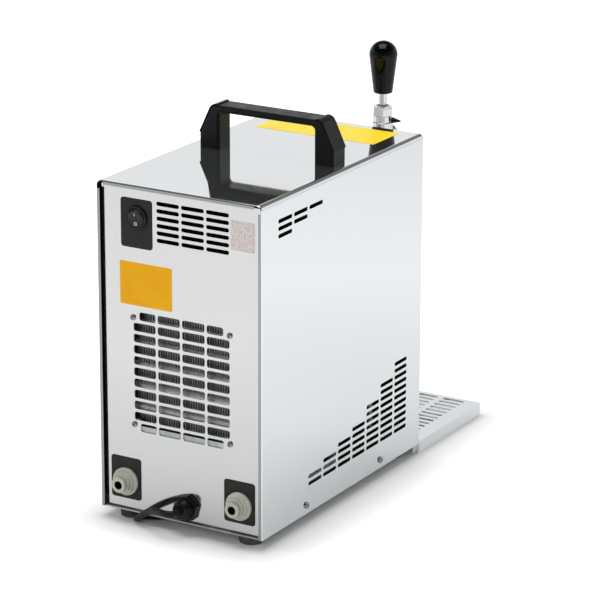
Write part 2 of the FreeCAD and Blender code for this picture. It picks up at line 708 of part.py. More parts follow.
def make_handle_caps():
    owner = body("handle_cap")
    place(owner, "handle_shift", HANDLE_Y, TOP)
    inside = "handle_shoulder - cap_reach"
    section = [
        (HANDLE_OUT, "handle_foot_high"),
        (f"{HANDLE_OUT} + cap_thick * {HANDLE_RISE} / {HANDLE_SLANT}",
         f"handle_foot_high + cap_thick * {HANDLE_RUN} / {HANDLE_SLANT}"),
        (f"handle_shoulder + cap_thick * ({HANDLE_SLANT} - {HANDLE_RUN}) / {HANDLE_RISE}",
         "handle_high + cap_thick", "handle_round + cap_thick"),
        (inside, "handle_high + cap_thick"), (inside, "handle_high"),
        ("handle_shoulder", "handle_high", "handle_round"),
    ]
    pad(owner, outline(sketch(owner, "XZ_Plane"), section), "handle_wide", midplane=True)
    keep("handle_end_caps", pair("handle_end_caps", owner, "handle_shift"))


def make_handle_fasteners():
    x = "handle_shift + handle_screw_out"
    bolt = [
        ("0", "-handle_bolt_below"), ("handle_bolt", "-handle_bolt_below"),
        ("handle_bolt", "handle_bolt_seat"), ("handle_bolt_head", "handle_bolt_seat"),
        ("handle_bolt_head", "handle_bolt_seat + handle_bolt_head_high"),
        ("0", "handle_bolt_seat + handle_bolt_head_high"),
    ]
    one = turned("handle_screw", bolt, "+Z", x, HANDLE_Y, TOP)
    below = nut("handle_nut", "handle_nut_across", "handle_nut_high", "handle_bolt + fit_gap",
                x, HANDLE_Y, f"{TOP} - cover_sheet - handle_nut_high")
    keep("handle_fasteners", group("handle_fasteners",
                                   pair("handle_screws", one, "handle_shift"),
                                   pair("handle_nuts", below, "handle_shift")))


# Label plates and the mains switch

def make_label(node, middle, size, hole):
    owner = body(node)
    place(owner, "0", PANEL, "foot_high")
    drawing = sketch(owner, "XZ_Plane")
    rectangle(drawing, middle[0], middle[1], size[0], size[1], "label_round")
    hoop(drawing, *hole)
    pad(owner, drawing, "label_sheet", reverse=True)
    return owner


def make_labels():
    above = make_label("switch_plate", ("switch_label_across", "switch_label_middle"),
                       ("switch_label_wide", "switch_label_high"),
                       ("switch_across", "switch_height", "switch_barrel + hole_gap"))
    keep("switch_plate", above)
    plates = []
    for node, side in (("air_plate", ""), ("inlet_plate", "-")):
        plates.append(make_label(node, (f"{side}hose_across", "hose_label_middle"),
                                 ("hose_label_wide", "hose_label_high"),
                                 (f"{side}hose_across", "hose_height",
                                  "hose_barrel + hole_gap")))
    keep("hose_plates", group("hose_plates", *plates))


SWITCH_Y = f"({PANEL} + label_sheet)"
SWITCH_Z = "(foot_high + switch_height)"


def make_switch():
    well = "(rocker_radius + rocker_gap)"
    section = [
        ("0", "-switch_deep"), ("switch_barrel", "-switch_deep"), ("switch_barrel", "0"),
        ("bezel_radius", "0"), ("bezel_radius", "bezel_high", "bezel_round"),
        (well, "bezel_high"), (well, "-switch_well"), ("0", "-switch_well"),
    ]
    cup = turned("switch_cup", section, "+Y", "switch_across", SWITCH_Y, SWITCH_Z)
    pivot = f"{SWITCH_Y} - rocker_pivot_in"
    reach = f"({well} + rocker_pin_end + fit_gap)"
    bore = rod("switch_bore", "rocker_pin + rocker_gap", f"2 * {reach}",
               f"switch_across - {reach}", pivot, SWITCH_Z, "+X")
    keep("switch_body", less("switch_body", cup, bore))
    make_rocker(pivot, f"({well} + rocker_pin_end)")


def make_rocker(pivot, pin_reach):
    """A round rocker with a shallow V face, its upper half standing out."""
    slab = body("rocker_slab")
    lean = math.degrees(math.atan2(number("rocker_rise"), number("rocker_radius")))
    slab.Placement = Placement(Vector(), Rotation(Vector(-1, 0, 0), lean))
    bind(slab, "Placement.Rotation.Angle", "atan(rocker_rise / rocker_radius)")
    bind(slab, "Placement.Base.x", "switch_across")
    bind(slab, "Placement.Base.y", pivot)
    bind(slab, "Placement.Base.z", SWITCH_Z)
    rise = "rocker_dip + rocker_rise"
    section = [
        ("-rocker_back", "-rocker_radius"), (rise, "-rocker_radius"), ("rocker_dip", "0"),
        (rise, "rocker_radius"), ("-rocker_back", "rocker_radius"),
    ]
    pad(slab, outline(sketch(slab, "YZ_Plane"), section), "2 * rocker_radius", midplane=True)
    round_form = ball("rocker_ball", "rocker_radius", "switch_across", pivot, SWITCH_Z)
    key = doc.addObject("Part::Common", "rocker_key")
    key.Base = slab
    key.Tool = round_form
    pin = rod("rocker_pin_rod", "rocker_pin", f"2 * {pin_reach}",
              f"switch_across - {pin_reach}", pivot, SWITCH_Z, "+X")
    keep("switch_rocker", joined("switch_rocker", key, pin))


# Cable gland

GLAND_Z = "(foot_high + gland_height)"
NOSE = f"({PANEL} + gland_hex_high + gland_dome_high)"


def make_gland():
    at = ("gland_across", PANEL, GLAND_Z)
    bore = "cord_radius + fit_gap"
    flats = hexagon("gland_flats", "gland_hex", "gland_hex_high", *at, "+Y")
    spin = Rotation(Vector(0, 0, 1), number("gland_hex_spin"))
    flats.Placement = Placement(flats.Placement.Base, SWINGS["+Y"] * spin)
    barrel = rod("gland_stem", "gland_barrel", "gland_barrel_long + gland_hex_high / 2",
                 "gland_across", f"{PANEL} - gland_barrel_long", GLAND_Z, "+Y")
    hole = rod("gland_hole", bore, "gland_barrel_long + gland_hex_high",
               "gland_across", f"{PANEL} - gland_barrel_long", GLAND_Z, "+Y")
    keep("gland_body", less("gland_body", joined("gland_whole", flats, barrel), hole))
    section = [
        (bore, "0"), ("gland_dome_radius", "0"), ("gland_dome_radius", "gland_dome_high / 3"),
        ("gland_nose_radius", "gland_dome_high", "gland_dome_round"),
        (bore, "gland_dome_high"),
    ]
    keep("gland_dome", turned("gland_dome", section, "+Y", "gland_across",
                              f"{PANEL} + gland_hex_high", GLAND_Z))
    keep("gland_locknut", nut("gland_locknut", "gland_nut_across", "gland_nut_high",
                              "gland_barrel + fit_gap", "gland_across",
                              f"{PANEL} - panel_sheet - gland_nut_high", GLAND_Z, "+Y"))


# Push-fit hose connectors

def make_connector(name, side):
    """Body, nut and collet of one connector; side is its sign in X. Gives back the nut."""
    x = f"{side}hose_across"
    seat = f"({PANEL} + label_sheet)"
    z = "foot_high + hose_height"
    ring_top = "(hose_flange_high + hose_ring_high)"
    neck_top = f"({ring_top} + hose_neck_high)"
    bottom = "(-hose_chamber_deep - hose_seat_deep)"
    section = [
        ("hose_through", "-hose_barrel_long - hose_barb_long"),
        ("hose_barb", "-hose_barrel_long - hose_barb_long"),
        ("hose_barb", "-hose_barrel_long"), ("hose_barrel", "-hose_barrel_long"),
        ("hose_barrel", "0"), ("hose_flange", "0"),
        ("hose_flange", "hose_flange_high", "hose_edge"),
        ("hose_ring", "hose_flange_high"), ("hose_ring", ring_top, "hose_edge"),
        ("hose_neck", ring_top), ("hose_neck", neck_top, "hose_edge"),
        ("hose_chamber", neck_top), ("hose_chamber", "-hose_chamber_deep"),
        ("hose_tube", "-hose_chamber_deep"), ("hose_tube", bottom),
        ("hose_through", bottom),
    ]
    keep(name + "_fitting", turned(name + "_fitting", section, "+Y", x, seat, z))
    skin = "hose_chamber - collet_gap"
    low = "(collet_travel + collet_spare - hose_chamber_deep)"
    rim = f"({neck_top} + collet_travel + collet_spare)"
    sleeve = [
        ("hose_tube", low), (skin, low), (skin, rim), ("collet_rim", rim),
        ("collet_rim", f"{rim} + collet_rim_high", "collet_rim_high / 3"),
        ("hose_tube", f"{rim} + collet_rim_high"),
    ]
    keep(name + "_collet", turned(name + "_collet", sleeve, "+Y", x, seat, z))
    return nut(name + "_nut", "hose_nut_across", "hose_nut_high", "hose_barrel + fit_gap", x,
               f"{PANEL} - panel_sheet - hose_nut_high", z, "+Y")


def make_connectors():
    nuts = [make_connector("air", ""), make_connector("inlet", "-")]
    keep("hose_nuts", group("hose_nuts", *nuts))


# Tap: shank through the front panel, coupling nut, body with its spout

def make_shank():
    back_end = f"{FACE} + shank_inside"
    section = [
        ("line_radius + fit_gap", "0"), ("shank_radius", "0"),
        ("shank_radius", "shank_inside + shank_outside"),
        ("line_radius + fit_gap", "shank_inside + shank_outside"),
    ]
    keep("tap_shank", turned("tap_shank", section, "-Y", "0", back_end, TAP_Z))
    ring = [
        ("shank_radius + hole_gap", "0"), ("rosette_radius", "0"),
        ("rosette_radius", "rosette_high", "rosette_high / 2"),
        ("shank_radius + hole_gap", "rosette_high"),
    ]
    keep("tap_rosette", turned("tap_rosette", ring, "-Y", "0", FACE, TAP_Z))
    keep("tap_locknut", nut("tap_locknut", "shank_nut_across", "shank_nut_high",
                            "shank_radius + fit_gap", "0", f"{FACE} + panel_sheet",
                            TAP_Z, "+Y"))
    lip = "(coupling_long - coupling_lip)"
    union = [
        ("shank_radius + fit_gap", "0"), ("coupling_radius", "0", "coupling_round"),
        ("coupling_radius", "coupling_long", "coupling_round"),
        ("tail_radius + fit_gap", "coupling_long"), ("tail_radius + fit_gap", lip),
        ("shank_radius + fit_gap", lip),
    ]
    keep("tap_coupling_nut", turned("tap_coupling_nut", union, "-Y", "0",
                                    f"{FACE} - coupling_off", TAP_Z))


COLLAR_LOW = f"({TOP} + collar_top - collar_high)"
FLOW_SEAT = f"({COLLAR_LOW} - flow_lift - flow_ring_high)"


def make_tap_body():
    """One casting: tail and barrel along Y, valve housing and spout along Z."""
    union_end = "(coupling_off + coupling_long)"
    lip = f"({union_end} - coupling_lip)"
    tail = [
        ("0", "shank_outside"), ("shank_radius - hole_gap", "shank_outside"),
        ("shank_radius - hole_gap", f"{lip} - fit_gap"), ("tail_radius", f"{lip} - fit_gap"),
        ("tail_radius", f"{union_end} + fit_gap"),
        ("barrel_radius", f"{union_end} + fit_gap", "coupling_round"),
        ("barrel_radius", "tap_reach + barrel_nose", "barrel_nose_round"),
        ("0", "tap_reach + barrel_nose"),
    ]
    barrel = turned("tap_barrel", tail, "-Y", "0", FACE, TAP_Z)
    cup = f"({BALL} - cup_below - {TAP_Z})"
    shoulder = f"({FLOW_SEAT} - flow_lift - {TAP_Z})"
    low = f"({TAP_Z} - {TOP} + valve_low)"
    tip = f"({TAP_Z} - {TOP} + spout_low)"
    section = [
        ("0", f"-{tip}"), ("spout_radius", f"-{tip}"),
        ("spout_radius", f"-{low} - valve_taper"), ("valve_radius", f"-{low}"),
        ("valve_radius", shoulder, "valve_round"),
        ("collar_thread - fit_gap", shoulder), ("collar_thread - fit_gap", cup),
        ("0", cup),
    ]
    column = turned("tap_column", section, "+Z", "0", TAP_Y, TAP_Z)
    whole = joined("tap_whole", barrel, column)
    beer_way = rod("tap_way", "barrel_bore", "tap_reach - shank_outside", "0",
                   f"{FACE} - shank_outside", TAP_Z, "-Y")
    drop = rod("tap_drop", "spout_bore", f"{tip} + cup_bore_deep / 2", "0", TAP_Y,
               f"{TAP_Z} - {tip}")
    finger_room = rod("tap_finger_room", "cup_bore", "cup_bore_deep", "0", TAP_Y,
                      f"{BALL} - cup_bore_deep")
    socket = ball("tap_socket", "ball_radius + ball_gap", "0", TAP_Y, BALL)
    keep("tap_body", less("tap_body", whole, beer_way, drop, finger_room, socket))


def make_collar():
    """The nut that holds the lever's ball down; hexagon below, round above."""
    bottom = COLLAR_LOW
    flats = hexagon("collar_flats", "collar_hex", "collar_hex_high", "0", TAP_Y, bottom)
    crown = rod("collar_crown", "collar_radius", "collar_high - collar_hex_high", "0", TAP_Y,
                f"{bottom} + collar_hex_high")
    thread = rod("collar_thread_bore", "collar_thread", f"{BALL} - {bottom}", "0", TAP_Y,
                 bottom)
    socket = ball("collar_socket", "ball_radius + ball_gap", "0", TAP_Y, BALL)
    lip = rod("collar_lip", "lip_radius", "lip_high", "0", TAP_Y, BALL)
    flare = doc.addObject("Part::Cone", "collar_flare")
    bind(flare, "Radius1", "lip_radius")
    bind(flare, "Radius2", "lip_flare")
    bind(flare, "Height", "collar_top + ball_down - lip_high")
    place(flare, "0", TAP_Y, f"{BALL} + lip_high")
    whole = joined("collar_whole", flats, crown)
    keep("tap_collar", less("tap_collar", whole, thread, socket, lip, flare))


def make_lever():
    sphere = ball("lever_ball", "ball_radius", "0", TAP_Y, BALL)
    finger = rod("lever_finger_rod", "lever_finger", "lever_finger_long", "0", TAP_Y,
                 f"{BALL} - lever_finger_long")
    neck = rod("lever_neck_rod", "lever_neck", "lever_neck_high", "0", TAP_Y, BALL)
    stem = rod("lever_stem_rod", "lever_stem", "knob_bottom + ball_down - lever_neck_high",
               "0", TAP_Y, f"{BALL} + lever_neck_high")
    stud = rod("lever_stud_rod", "lever_stud", "lever_stud_long + overrun", "0", TAP_Y,
               f"{TOP} + knob_bottom - overrun")
    keep("tap_lever", joined("tap_lever", sphere, finger, neck, stem, stud))
    bore = "(lever_stud + fit_gap)"
    end = "(lever_stud_long + fit_gap)"
    knob = [
        (bore, "0"), ("knob_foot", "0", "knob_foot_round"), ("knob_top", "knob_high", "knob_dome"),
        ("0", "knob_high"), ("0", end), (bore, end),
    ]
    keep("tap_handle", turned("tap_handle", knob, "+Z", "0", TAP_Y, f"{TOP} + knob_bottom"))


def make_flow_lever():
    """A ring that turns on the tap's thread, with a short arm to the side."""
    ring = rod("flow_ring_rod", "flow_ring", "flow_ring_high", "0", TAP_Y, FLOW_SEAT)
    height = f"{FLOW_SEAT} + flow_arm_up"
    arm = rod("flow_arm_rod", "flow_arm", "flow_tip_start + flow_tip_bite", "0", TAP_Y,
              height, "-X")
    bore = rod("flow_ring_bore", "collar_thread + flow_gap", "flow_ring_high", "0", TAP_Y,
               FLOW_SEAT)
    keep("flow_lever", less("flow_lever", joined("flow_whole", ring, arm), bore))
    hole = "(flow_arm + fit_gap)"
    long = "(flow_tip_end - flow_tip_start)"
    cone = [
        (hole, "0"), ("flow_tip_wide", "0"), ("flow_tip_narrow", long), ("0", long),
        ("0", "flow_tip_bite"), (hole, "flow_tip_bite"),
    ]
    keep("flow_lever_tip", turned("flow_lever_tip", cone, "-X", "-flow_tip_start", TAP_Y,
                                  height))


# Drip tray that slides out from before the cabinet, and the grid that lifts off it

def make_tray():
    deep = "(tray_stand_out - tray_gap)"
    owner = body("drip_tray")
    place(owner, "0", f"{FRONT} - tray_gap - {deep} / 2")
    base = sketch(owner, "XY_Plane")
    rectangle(base, "0", "0", "tray_wide", deep, "tray_corner")
    pad(owner, base, "tray_high")
    tongue = sketch(owner, "XY_Plane")
    tongue_wide = "(cabinet_wide - 2 * flange_wide)"
    reach = "(tray_tongue + tray_gap)"
    rectangle(tongue, "0", f"{deep} / 2 - tray_corner + ({reach} + tray_corner) / 2",
              tongue_wide, f"({reach} + tray_corner)")
    pad(owner, tongue, "tray_tongue_high")
    basin = sketch(owner, "XY_Plane", "tray_high - tray_sheet")
    rectangle(basin, "0", "0", "(tray_wide - 2 * tray_sheet)", f"({deep} - 2 * tray_sheet)",
              "tray_corner - tray_sheet")
    pocket(owner, basin, "tray_high - 2 * tray_sheet")
    mouth = sketch(owner, "XY_Plane", "tray_high")
    rectangle(mouth, "0", "0", "(tray_wide - 2 * tray_ledge)", f"({deep} - 2 * tray_ledge)")
    pocket(owner, mouth, "tray_sheet + overrun / 3")
    inner = sketch(owner, "XY_Plane", "tray_tongue_high - tray_sheet")
    rectangle(inner, "0", f"{deep} / 2 + {reach} / 2 - tray_corner / 2 - tray_sheet",
              f"({tongue_wide} - 2 * tray_sheet)", f"({reach} + tray_corner)")
    pocket(owner, inner, "tray_tongue_high - 2 * tray_sheet")
    keep("drip_tray", owner)


def make_grid():
    deep = "(tray_stand_out - tray_gap)"
    owner = body("drip_grid")
    place(owner, "0", f"{FRONT} - tray_gap - {deep} / 2", "tray_high")
    plate = sketch(owner, "XY_Plane")
    rectangle(plate, "0", "0", "tray_wide", deep, "tray_corner")
    pad(owner, plate, "grid_high")
    hollow = sketch(owner, "XY_Plane", "grid_high - grid_sheet")
    rectangle(hollow, "0", "0", "(tray_wide - 2 * grid_sheet)", f"({deep} - 2 * grid_sheet)",
              "tray_corner - grid_sheet")
    pocket(owner, hollow, "grid_high")
    slots = sketch(owner, "XY_Plane")
    for step in (-2, -1, 0, 1, 2):
        rectangle(slots, f"{step} * grid_slot_step", f"grid_slot_first - {deep} / 2",
                  "grid_slot_long", "grid_slot_wide", "grid_slot_wide * vent_round_share")
    repeat(owner, pocket(owner, slots), slots, "grid_slot_pitch", "grid_rows")
    keep("drip_grid", owner)


# Tubes and hoses: straight runs joined by tangent arcs of one radius

def bent_wire(points, bend):
    """A wire through the points, each inner corner turned by an arc."""
    edges = []
    start = points[0]
    for before, here, after in zip(points, points[1:], points[2:]):
        back = (before - here).normalize()
        ahead = (after - here).normalize()
        half = back.getAngle(ahead) / 2
        reach = bend / math.tan(half)
        centre = here + (back + ahead).normalize() * (bend / math.sin(half))
        middle = centre + (here - centre).normalize() * bend
        edges.append(Part.LineSegment(start, here + back * reach).toShape())
        start = here + ahead * reach
        edges.append(Part.Arc(here + back * reach, middle, start).toShape())
    edges.append(Part.LineSegment(start, points[-1]).toShape())
    return Part.Wire(edges)


def swept(wire, radius):
    """A round bar along the wire."""
    start = wire.Edges[0]
    ring = Part.Circle(start.valueAt(start.FirstParameter),
                       start.tangentAt(start.FirstParameter), radius)
    return wire.makePipeShell([Part.Wire(ring.toShape())], True, False)


def pipe(name, route, radius, wall, bend):
    """A hollow tube along a route of (x, y, z) sums of sizes."""
    points = [Vector(*(number(text) for text in place_at)) for place_at in route]
    wire = bent_wire(points, number(bend))
    item = doc.addObject("Part::Feature", name)
    item.Shape = swept(wire, number(radius)).cut(swept(wire, number(f"{radius} - {wall}")))
    return item


# Condenser behind the grille: frame, fins and one tube bent to and fro

FRAME_BACK = f"({PANEL} - panel_sheet)"
FRAME_DEEP = "(fin_back + fin_deep + frame_sheet)"
FIN_BACK = f"({FRAME_BACK} - fin_back)"
COIL_Y = f"({FIN_BACK} - coil_tube + coil_proud)"
COIL_MIDDLE = "(foot_high + grille_middle + coil_rise)"
COIL_TOP = f"({COIL_MIDDLE} + (coil_rows - 1) / 2 * coil_step)"
COIL_LOW = f"({COIL_MIDDLE} - (coil_rows - 1) / 2 * coil_step)"


def make_condenser_frame():
    owner = body("condenser_blank")
    place(owner, "0", FRAME_BACK, "foot_high")
    outer = sketch(owner, "XZ_Plane")
    rectangle(outer, "0", "grille_middle", "(2 * frame_half)", "frame_high")
    pad(owner, outer, FRAME_DEEP)
    core = sketch(owner, "XZ_Plane", "frame_sheet")
    inside = "(2 * frame_half - 2 * frame_sheet)"
    high = "(frame_high - 2 * frame_sheet)"
    rectangle(core, "0", "grille_middle", inside, high)
    pocket(owner, core, f"{FRAME_DEEP} - 2 * frame_sheet", reverse=True)
    mouth = sketch(owner, "XZ_Plane")
    wide = "(frame_half - frame_sheet)"
    tall = "(frame_high / 2 - frame_sheet)"
    tab = f"({wide} - frame_tab)"
    step = f"({tall} - frame_tab_high)"
    sill = f"({tall} - frame_sill)"
    middle = "grille_middle"
    cross = [
        (f"-{tab}", f"{middle} - {sill}"), (tab, f"{middle} - {sill}"),
        (tab, f"{middle} - {step}"), (wide, f"{middle} - {step}"),
        (wide, f"{middle} + {step}"), (tab, f"{middle} + {step}"),
        (tab, f"{middle} + {tall}"), (f"-{tab}", f"{middle} + {tall}"),
        (f"-{tab}", f"{middle} + {step}"), (f"-{wide}", f"{middle} + {step}"),
        (f"-{wide}", f"{middle} - {step}"), (f"-{tab}", f"{middle} - {step}"),
    ]
    pocket(owner, outline(mouth, cross))
    holes = sketch(owner, "XZ_Plane")
    for side in ("", "-"):
        for rise in ("+", "-"):
            hoop(holes, f"{side}grille_screw_span / 2",
                 f"{middle} {rise} grille_screw_span / 2", "grille_shank + hole_gap")
    pocket(owner, holes)
    return owner


def coil_bores(name, radius):
    """Straight rods where the tube passes through frame and fins."""
    rods = []
    for row in range(SIZES["coil_rows"]):
        rods.append(rod(name, radius, "2 * coil_reach", "-coil_reach", COIL_Y,
                        f"{COIL_LOW} + {row} * coil_step", "+X"))
    return rods


def make_condenser():
    frame = make_condenser_frame()
    keep("condenser_frame", less("condenser_frame", frame,
                                 *coil_bores("frame_bore", "coil_tube + fit_gap")))
    fins = []
    for index in range(SIZES["fin_count"]):
        x = f"({index} - (fin_count - 1) / 2) * fin_pitch - fin_sheet / 2"
        fins.append(brick("fin", x, f"{FIN_BACK} - fin_deep",
                          "foot_high + grille_middle - fin_high / 2",
                          "fin_sheet", "fin_deep", "fin_high"))
    stack = group("fin_stack", *fins)
    keep("condenser_fins", less("condenser_fins", stack,
                                *coil_bores("fin_bore", "coil_tube + fit_gap")))
    make_condenser_tube()


def make_condenser_tube():
    """Runs to and fro from the top right to the bottom left, turned by half circles."""
    reach = number("coil_reach")
    y = number(COIL_Y)
    step = number("coil_step")
    side = 1
    height = number(COIL_TOP)
    edges = []
    for row in range(SIZES["coil_rows"]):
        start = Vector(side * reach, y, height)
        end = Vector(-side * reach, y, height)
        edges.append(Part.LineSegment(start, end).toShape())
        if row < SIZES["coil_rows"] - 1:
            crown = Vector(-side * (reach + step / 2), y, height - step / 2)
            edges.append(Part.Arc(end, crown, end - Vector(0, 0, step)).toShape())
        side = -side
        height -= step
    wire = Part.Wire(edges)
    item = doc.addObject("Part::Feature", "condenser_tube")
    bore = number("coil_tube - coil_tube_wall")
    item.Shape = swept(wire, number("coil_tube")).cut(swept(wire, bore))
    keep("condenser_tube", item)


# Fan on the condenser frame

FAN_BACK = f"({FRAME_BACK} - {FRAME_DEEP})"
FAN_Z = "(foot_high + grille_middle)"


def make_fan():
    half = "(fan_side / 2)"
    front = f"({FAN_BACK} - fan_thick)"
    blank = brick("fan_blank", f"-{half}", front, f"{FAN_Z} - {half}",
                  "fan_side", "fan_thick", "fan_side")
    cuts = [rod("fan_ring", "fan_bore", "fan_thick", "0", front, FAN_Z, "+Y")]
    for side in ("", "-"):
        for rise in ("+", "-"):
            cuts.append(rod("fan_screw_bore", "grille_shank + hole_gap", "fan_thick",
                            f"{side}grille_screw_span / 2", front,
                            f"{FAN_Z} {rise} grille_screw_span / 2", "+Y"))
    ring = less("fan_ring_frame", blank, *cuts)
    hub = rod("fan_hub_rod", "fan_hub", "fan_hub_plate", "0", front, FAN_Z, "+Y")
    reach = "(fan_bore + fan_strut / 5)"
    level = brick("fan_strut_level", f"-{reach}", front, f"{FAN_Z} - fan_strut / 2",
                  f"2 * {reach}", "fan_strut_thick", "fan_strut")
    upright = brick("fan_strut_upright", "-fan_strut / 2", front, f"{FAN_Z} - {reach}",
                    "fan_strut", "fan_strut_thick", f"2 * {reach}")
    axle = rod("fan_axle", "fan_pin", "fan_hub_plate + fan_rotor_deep * 3 / 4", "0", front,
               FAN_Z, "+Y")
    keep("fan_frame", joined("fan_frame", ring, hub, level, upright, axle))
    make_rotor(f"{front} + fan_hub_plate + fan_clear")
    make_condenser_screws(front)


def make_rotor(seat):
    owner = body("fan_rotor")
    bore = "(fan_pin + fan_pin_gap)"
    deep = "(fan_rotor_deep * 3 / 4 + fan_clear)"
    hub = outline(sketch(owner, "XZ_Plane"), [
        (bore, "0"), ("fan_hub", "0"), ("fan_hub", "fan_rotor_deep", "fan_blade_thick"),
        ("0", "fan_rotor_deep"), ("0", deep), (bore, deep),
    ])
    spin = owner.newObject("PartDesign::Revolution", "fan_rotor_turn")
    spin.Profile = hub
    spin.ReferenceAxis = (hub, ["V_Axis"])
    spin.Angle = 360
    section = sketch(owner, "YZ_Plane", "fan_blade_root")
    middle = "fan_rotor_deep / 2"
    outline(section, [
        ("-fan_blade_run", f"{middle} - fan_blade_rise - fan_blade_thick / 2"),
        ("fan_blade_run", f"{middle} + fan_blade_rise - fan_blade_thick / 2"),
        ("fan_blade_run", f"{middle} + fan_blade_rise + fan_blade_thick / 2"),
        ("-fan_blade_run", f"{middle} - fan_blade_rise + fan_blade_thick / 2"),
    ])
    blade = pad(owner, section, "fan_blade_tip - fan_blade_root")
    fan = owner.newObject("PartDesign::PolarPattern", "fan_rotor_blades")
    fan.Originals = [blade]
    fan.Axis = (hub, ["V_Axis"])
    fan.Angle = 360
    bind(fan, "Occurrences", "fan_blades")
    owner.Tip = fan
    keep("fan_rotor", place(owner, "0", seat, FAN_Z, "+Y"))


def make_condenser_screws(front):
    """Four short screws through the rear panel and four long ones through the fan."""
    rows = []
    for rise in ("-", "+"):
        height = f"{FAN_Z} {rise} grille_screw_span / 2"
        for name, length, towards, y in (
                ("grille_screw", "grille_screw_long", "+Y", PANEL),
                ("fan_screw", "(fan_thick + frame_sheet)", "-Y", front)):
            one = screw(name, "grille_head", "grille_head_high", "grille_shank", length,
                        towards, "grille_screw_span / 2", y, height)
            rows.append(pair(name + "_row", one))
    keep("condenser_screws", group("condenser_screws", *rows))


# Compressor on its rubber mounts

PUMP_Y = f"({MIDDLE} - pump_back)"
PUMP_TOP = f"({FLOOR} + pump_lift + pump_high)"


def make_compressor():
    can = turned("compressor_can", [
        ("0", "0"), ("pump_radius", "0", "pump_round"),
        ("pump_radius", "pump_high", "pump_round"), ("0", "pump_high"),
    ], "+Z", "0", PUMP_Y, f"{FLOOR} + pump_lift")
    plate = brick("compressor_plate", "-pump_plate / 2", f"{PUMP_Y} - pump_plate / 2",
                  f"{FLOOR} + pump_lift - pump_plate_sheet", "pump_plate", "pump_plate",
                  "pump_plate_sheet")
    keep("compressor", joined("compressor", can, plate))
    one = rod("compressor_mount", "mount_radius", "pump_lift - pump_plate_sheet",
              "pump_mount_span / 2", f"{PUMP_Y} + pump_mount_span / 2", FLOOR)
    side = pair("mount_side", one)
    keep("compressor_mounts", group("compressor_mounts", side, mirrored(side, "y", PUMP_Y)))
    box = brick("terminal_blank", "-terminal_wide / 2",
                f"{PUMP_Y} - pump_radius - terminal_out", f"{FLOOR} + terminal_lift",
                "terminal_wide", "terminal_deep", "terminal_high")
    can_space = rod("terminal_space", "pump_radius + fit_gap", "pump_high", "0", PUMP_Y,
                    f"{FLOOR} + pump_lift")
    keep("terminal_cover", less("terminal_cover", box, can_space))


# Shelf with the insulated cooling block

SHELF_TOP = "(foot_high + shelf_high + shelf_sheet)"


def make_shelf():
    deep = "(shelf_front + shelf_back)"
    keep("shelf", brick("shelf", "-shelf_half", f"{MIDDLE} - shelf_front",
                        "foot_high + shelf_high", "2 * shelf_half", deep, "shelf_sheet"))
    posts = []
    for y in (f"{MIDDLE} - shelf_front + post_inset", f"{MIDDLE} + shelf_back - post_inset"):
        one = rod("shelf_post", "post_radius", "shelf_high - base_sheet",
                  "shelf_half - post_inset", y, FLOOR)
        posts.append(pair("shelf_post_pair", one))
    keep("shelf_posts", group("shelf_posts", *posts))
    long = "(shell_front + shell_back)"
    shell = brick("insulation_blank", "-shell_half", f"{MIDDLE} - shell_front", SHELF_TOP,
                  "2 * shell_half", long, "shell_high")
    core = ("-shell_half + shell_wall", f"{MIDDLE} - shell_front + shell_wall",
            f"{SHELF_TOP} + shell_wall", "2 * (shell_half - shell_wall)",
            f"{long} - 2 * shell_wall", "shell_high - 2 * shell_wall")
    keep("insulation_box", less("insulation_box", shell, brick("insulation_hollow", *core)))
    keep("cooling_block", brick("cooling_block", *core))


# Bracket over the condenser with the air pump and the thermostat box

BRACKET = "(foot_high + grille_middle + frame_high / 2)"


def upright_box(node, across, back, size, turn):
    """A box with rounded upright edges; across is its inner side, back its rear face."""
    owner = body(node)
    place(owner, "0", back, f"{BRACKET} + bracket_sheet")
    wide, deep, high = size
    drawing = sketch(owner, "XY_Plane")
    rectangle(drawing, across, f"-{deep} / 2", wide, deep, turn)
    pad(owner, drawing, high)
    keep(node, owner)


def make_bracket():
    owner = body("bracket")
    place(owner, "0", FRAME_BACK, BRACKET)
    low = "-bracket_deep"
    section = [
        ("0", "0"), ("0", "bracket_sheet"), (f"{low} + bracket_sheet", "bracket_sheet"),
        (f"{low} + bracket_sheet", "bracket_leaf"), (low, "bracket_leaf"), (low, "0"),
    ]
    pad(owner, outline(sketch(owner, "YZ_Plane"), section), "2 * bracket_half", midplane=True)
    keep("bracket", owner)
    back = f"{FRAME_BACK} - air_pump_back"
    upright_box("air_pump", "air_pump_in + air_pump_wide / 2", back,
                ("air_pump_wide", "air_pump_deep", "air_pump_high"), "air_pump_round")
    upright_box("thermostat_box", "-relay_in - relay_wide / 2", back,
                ("relay_wide", "relay_deep", "relay_high"), "relay_round")


# Lines between the pieces inside

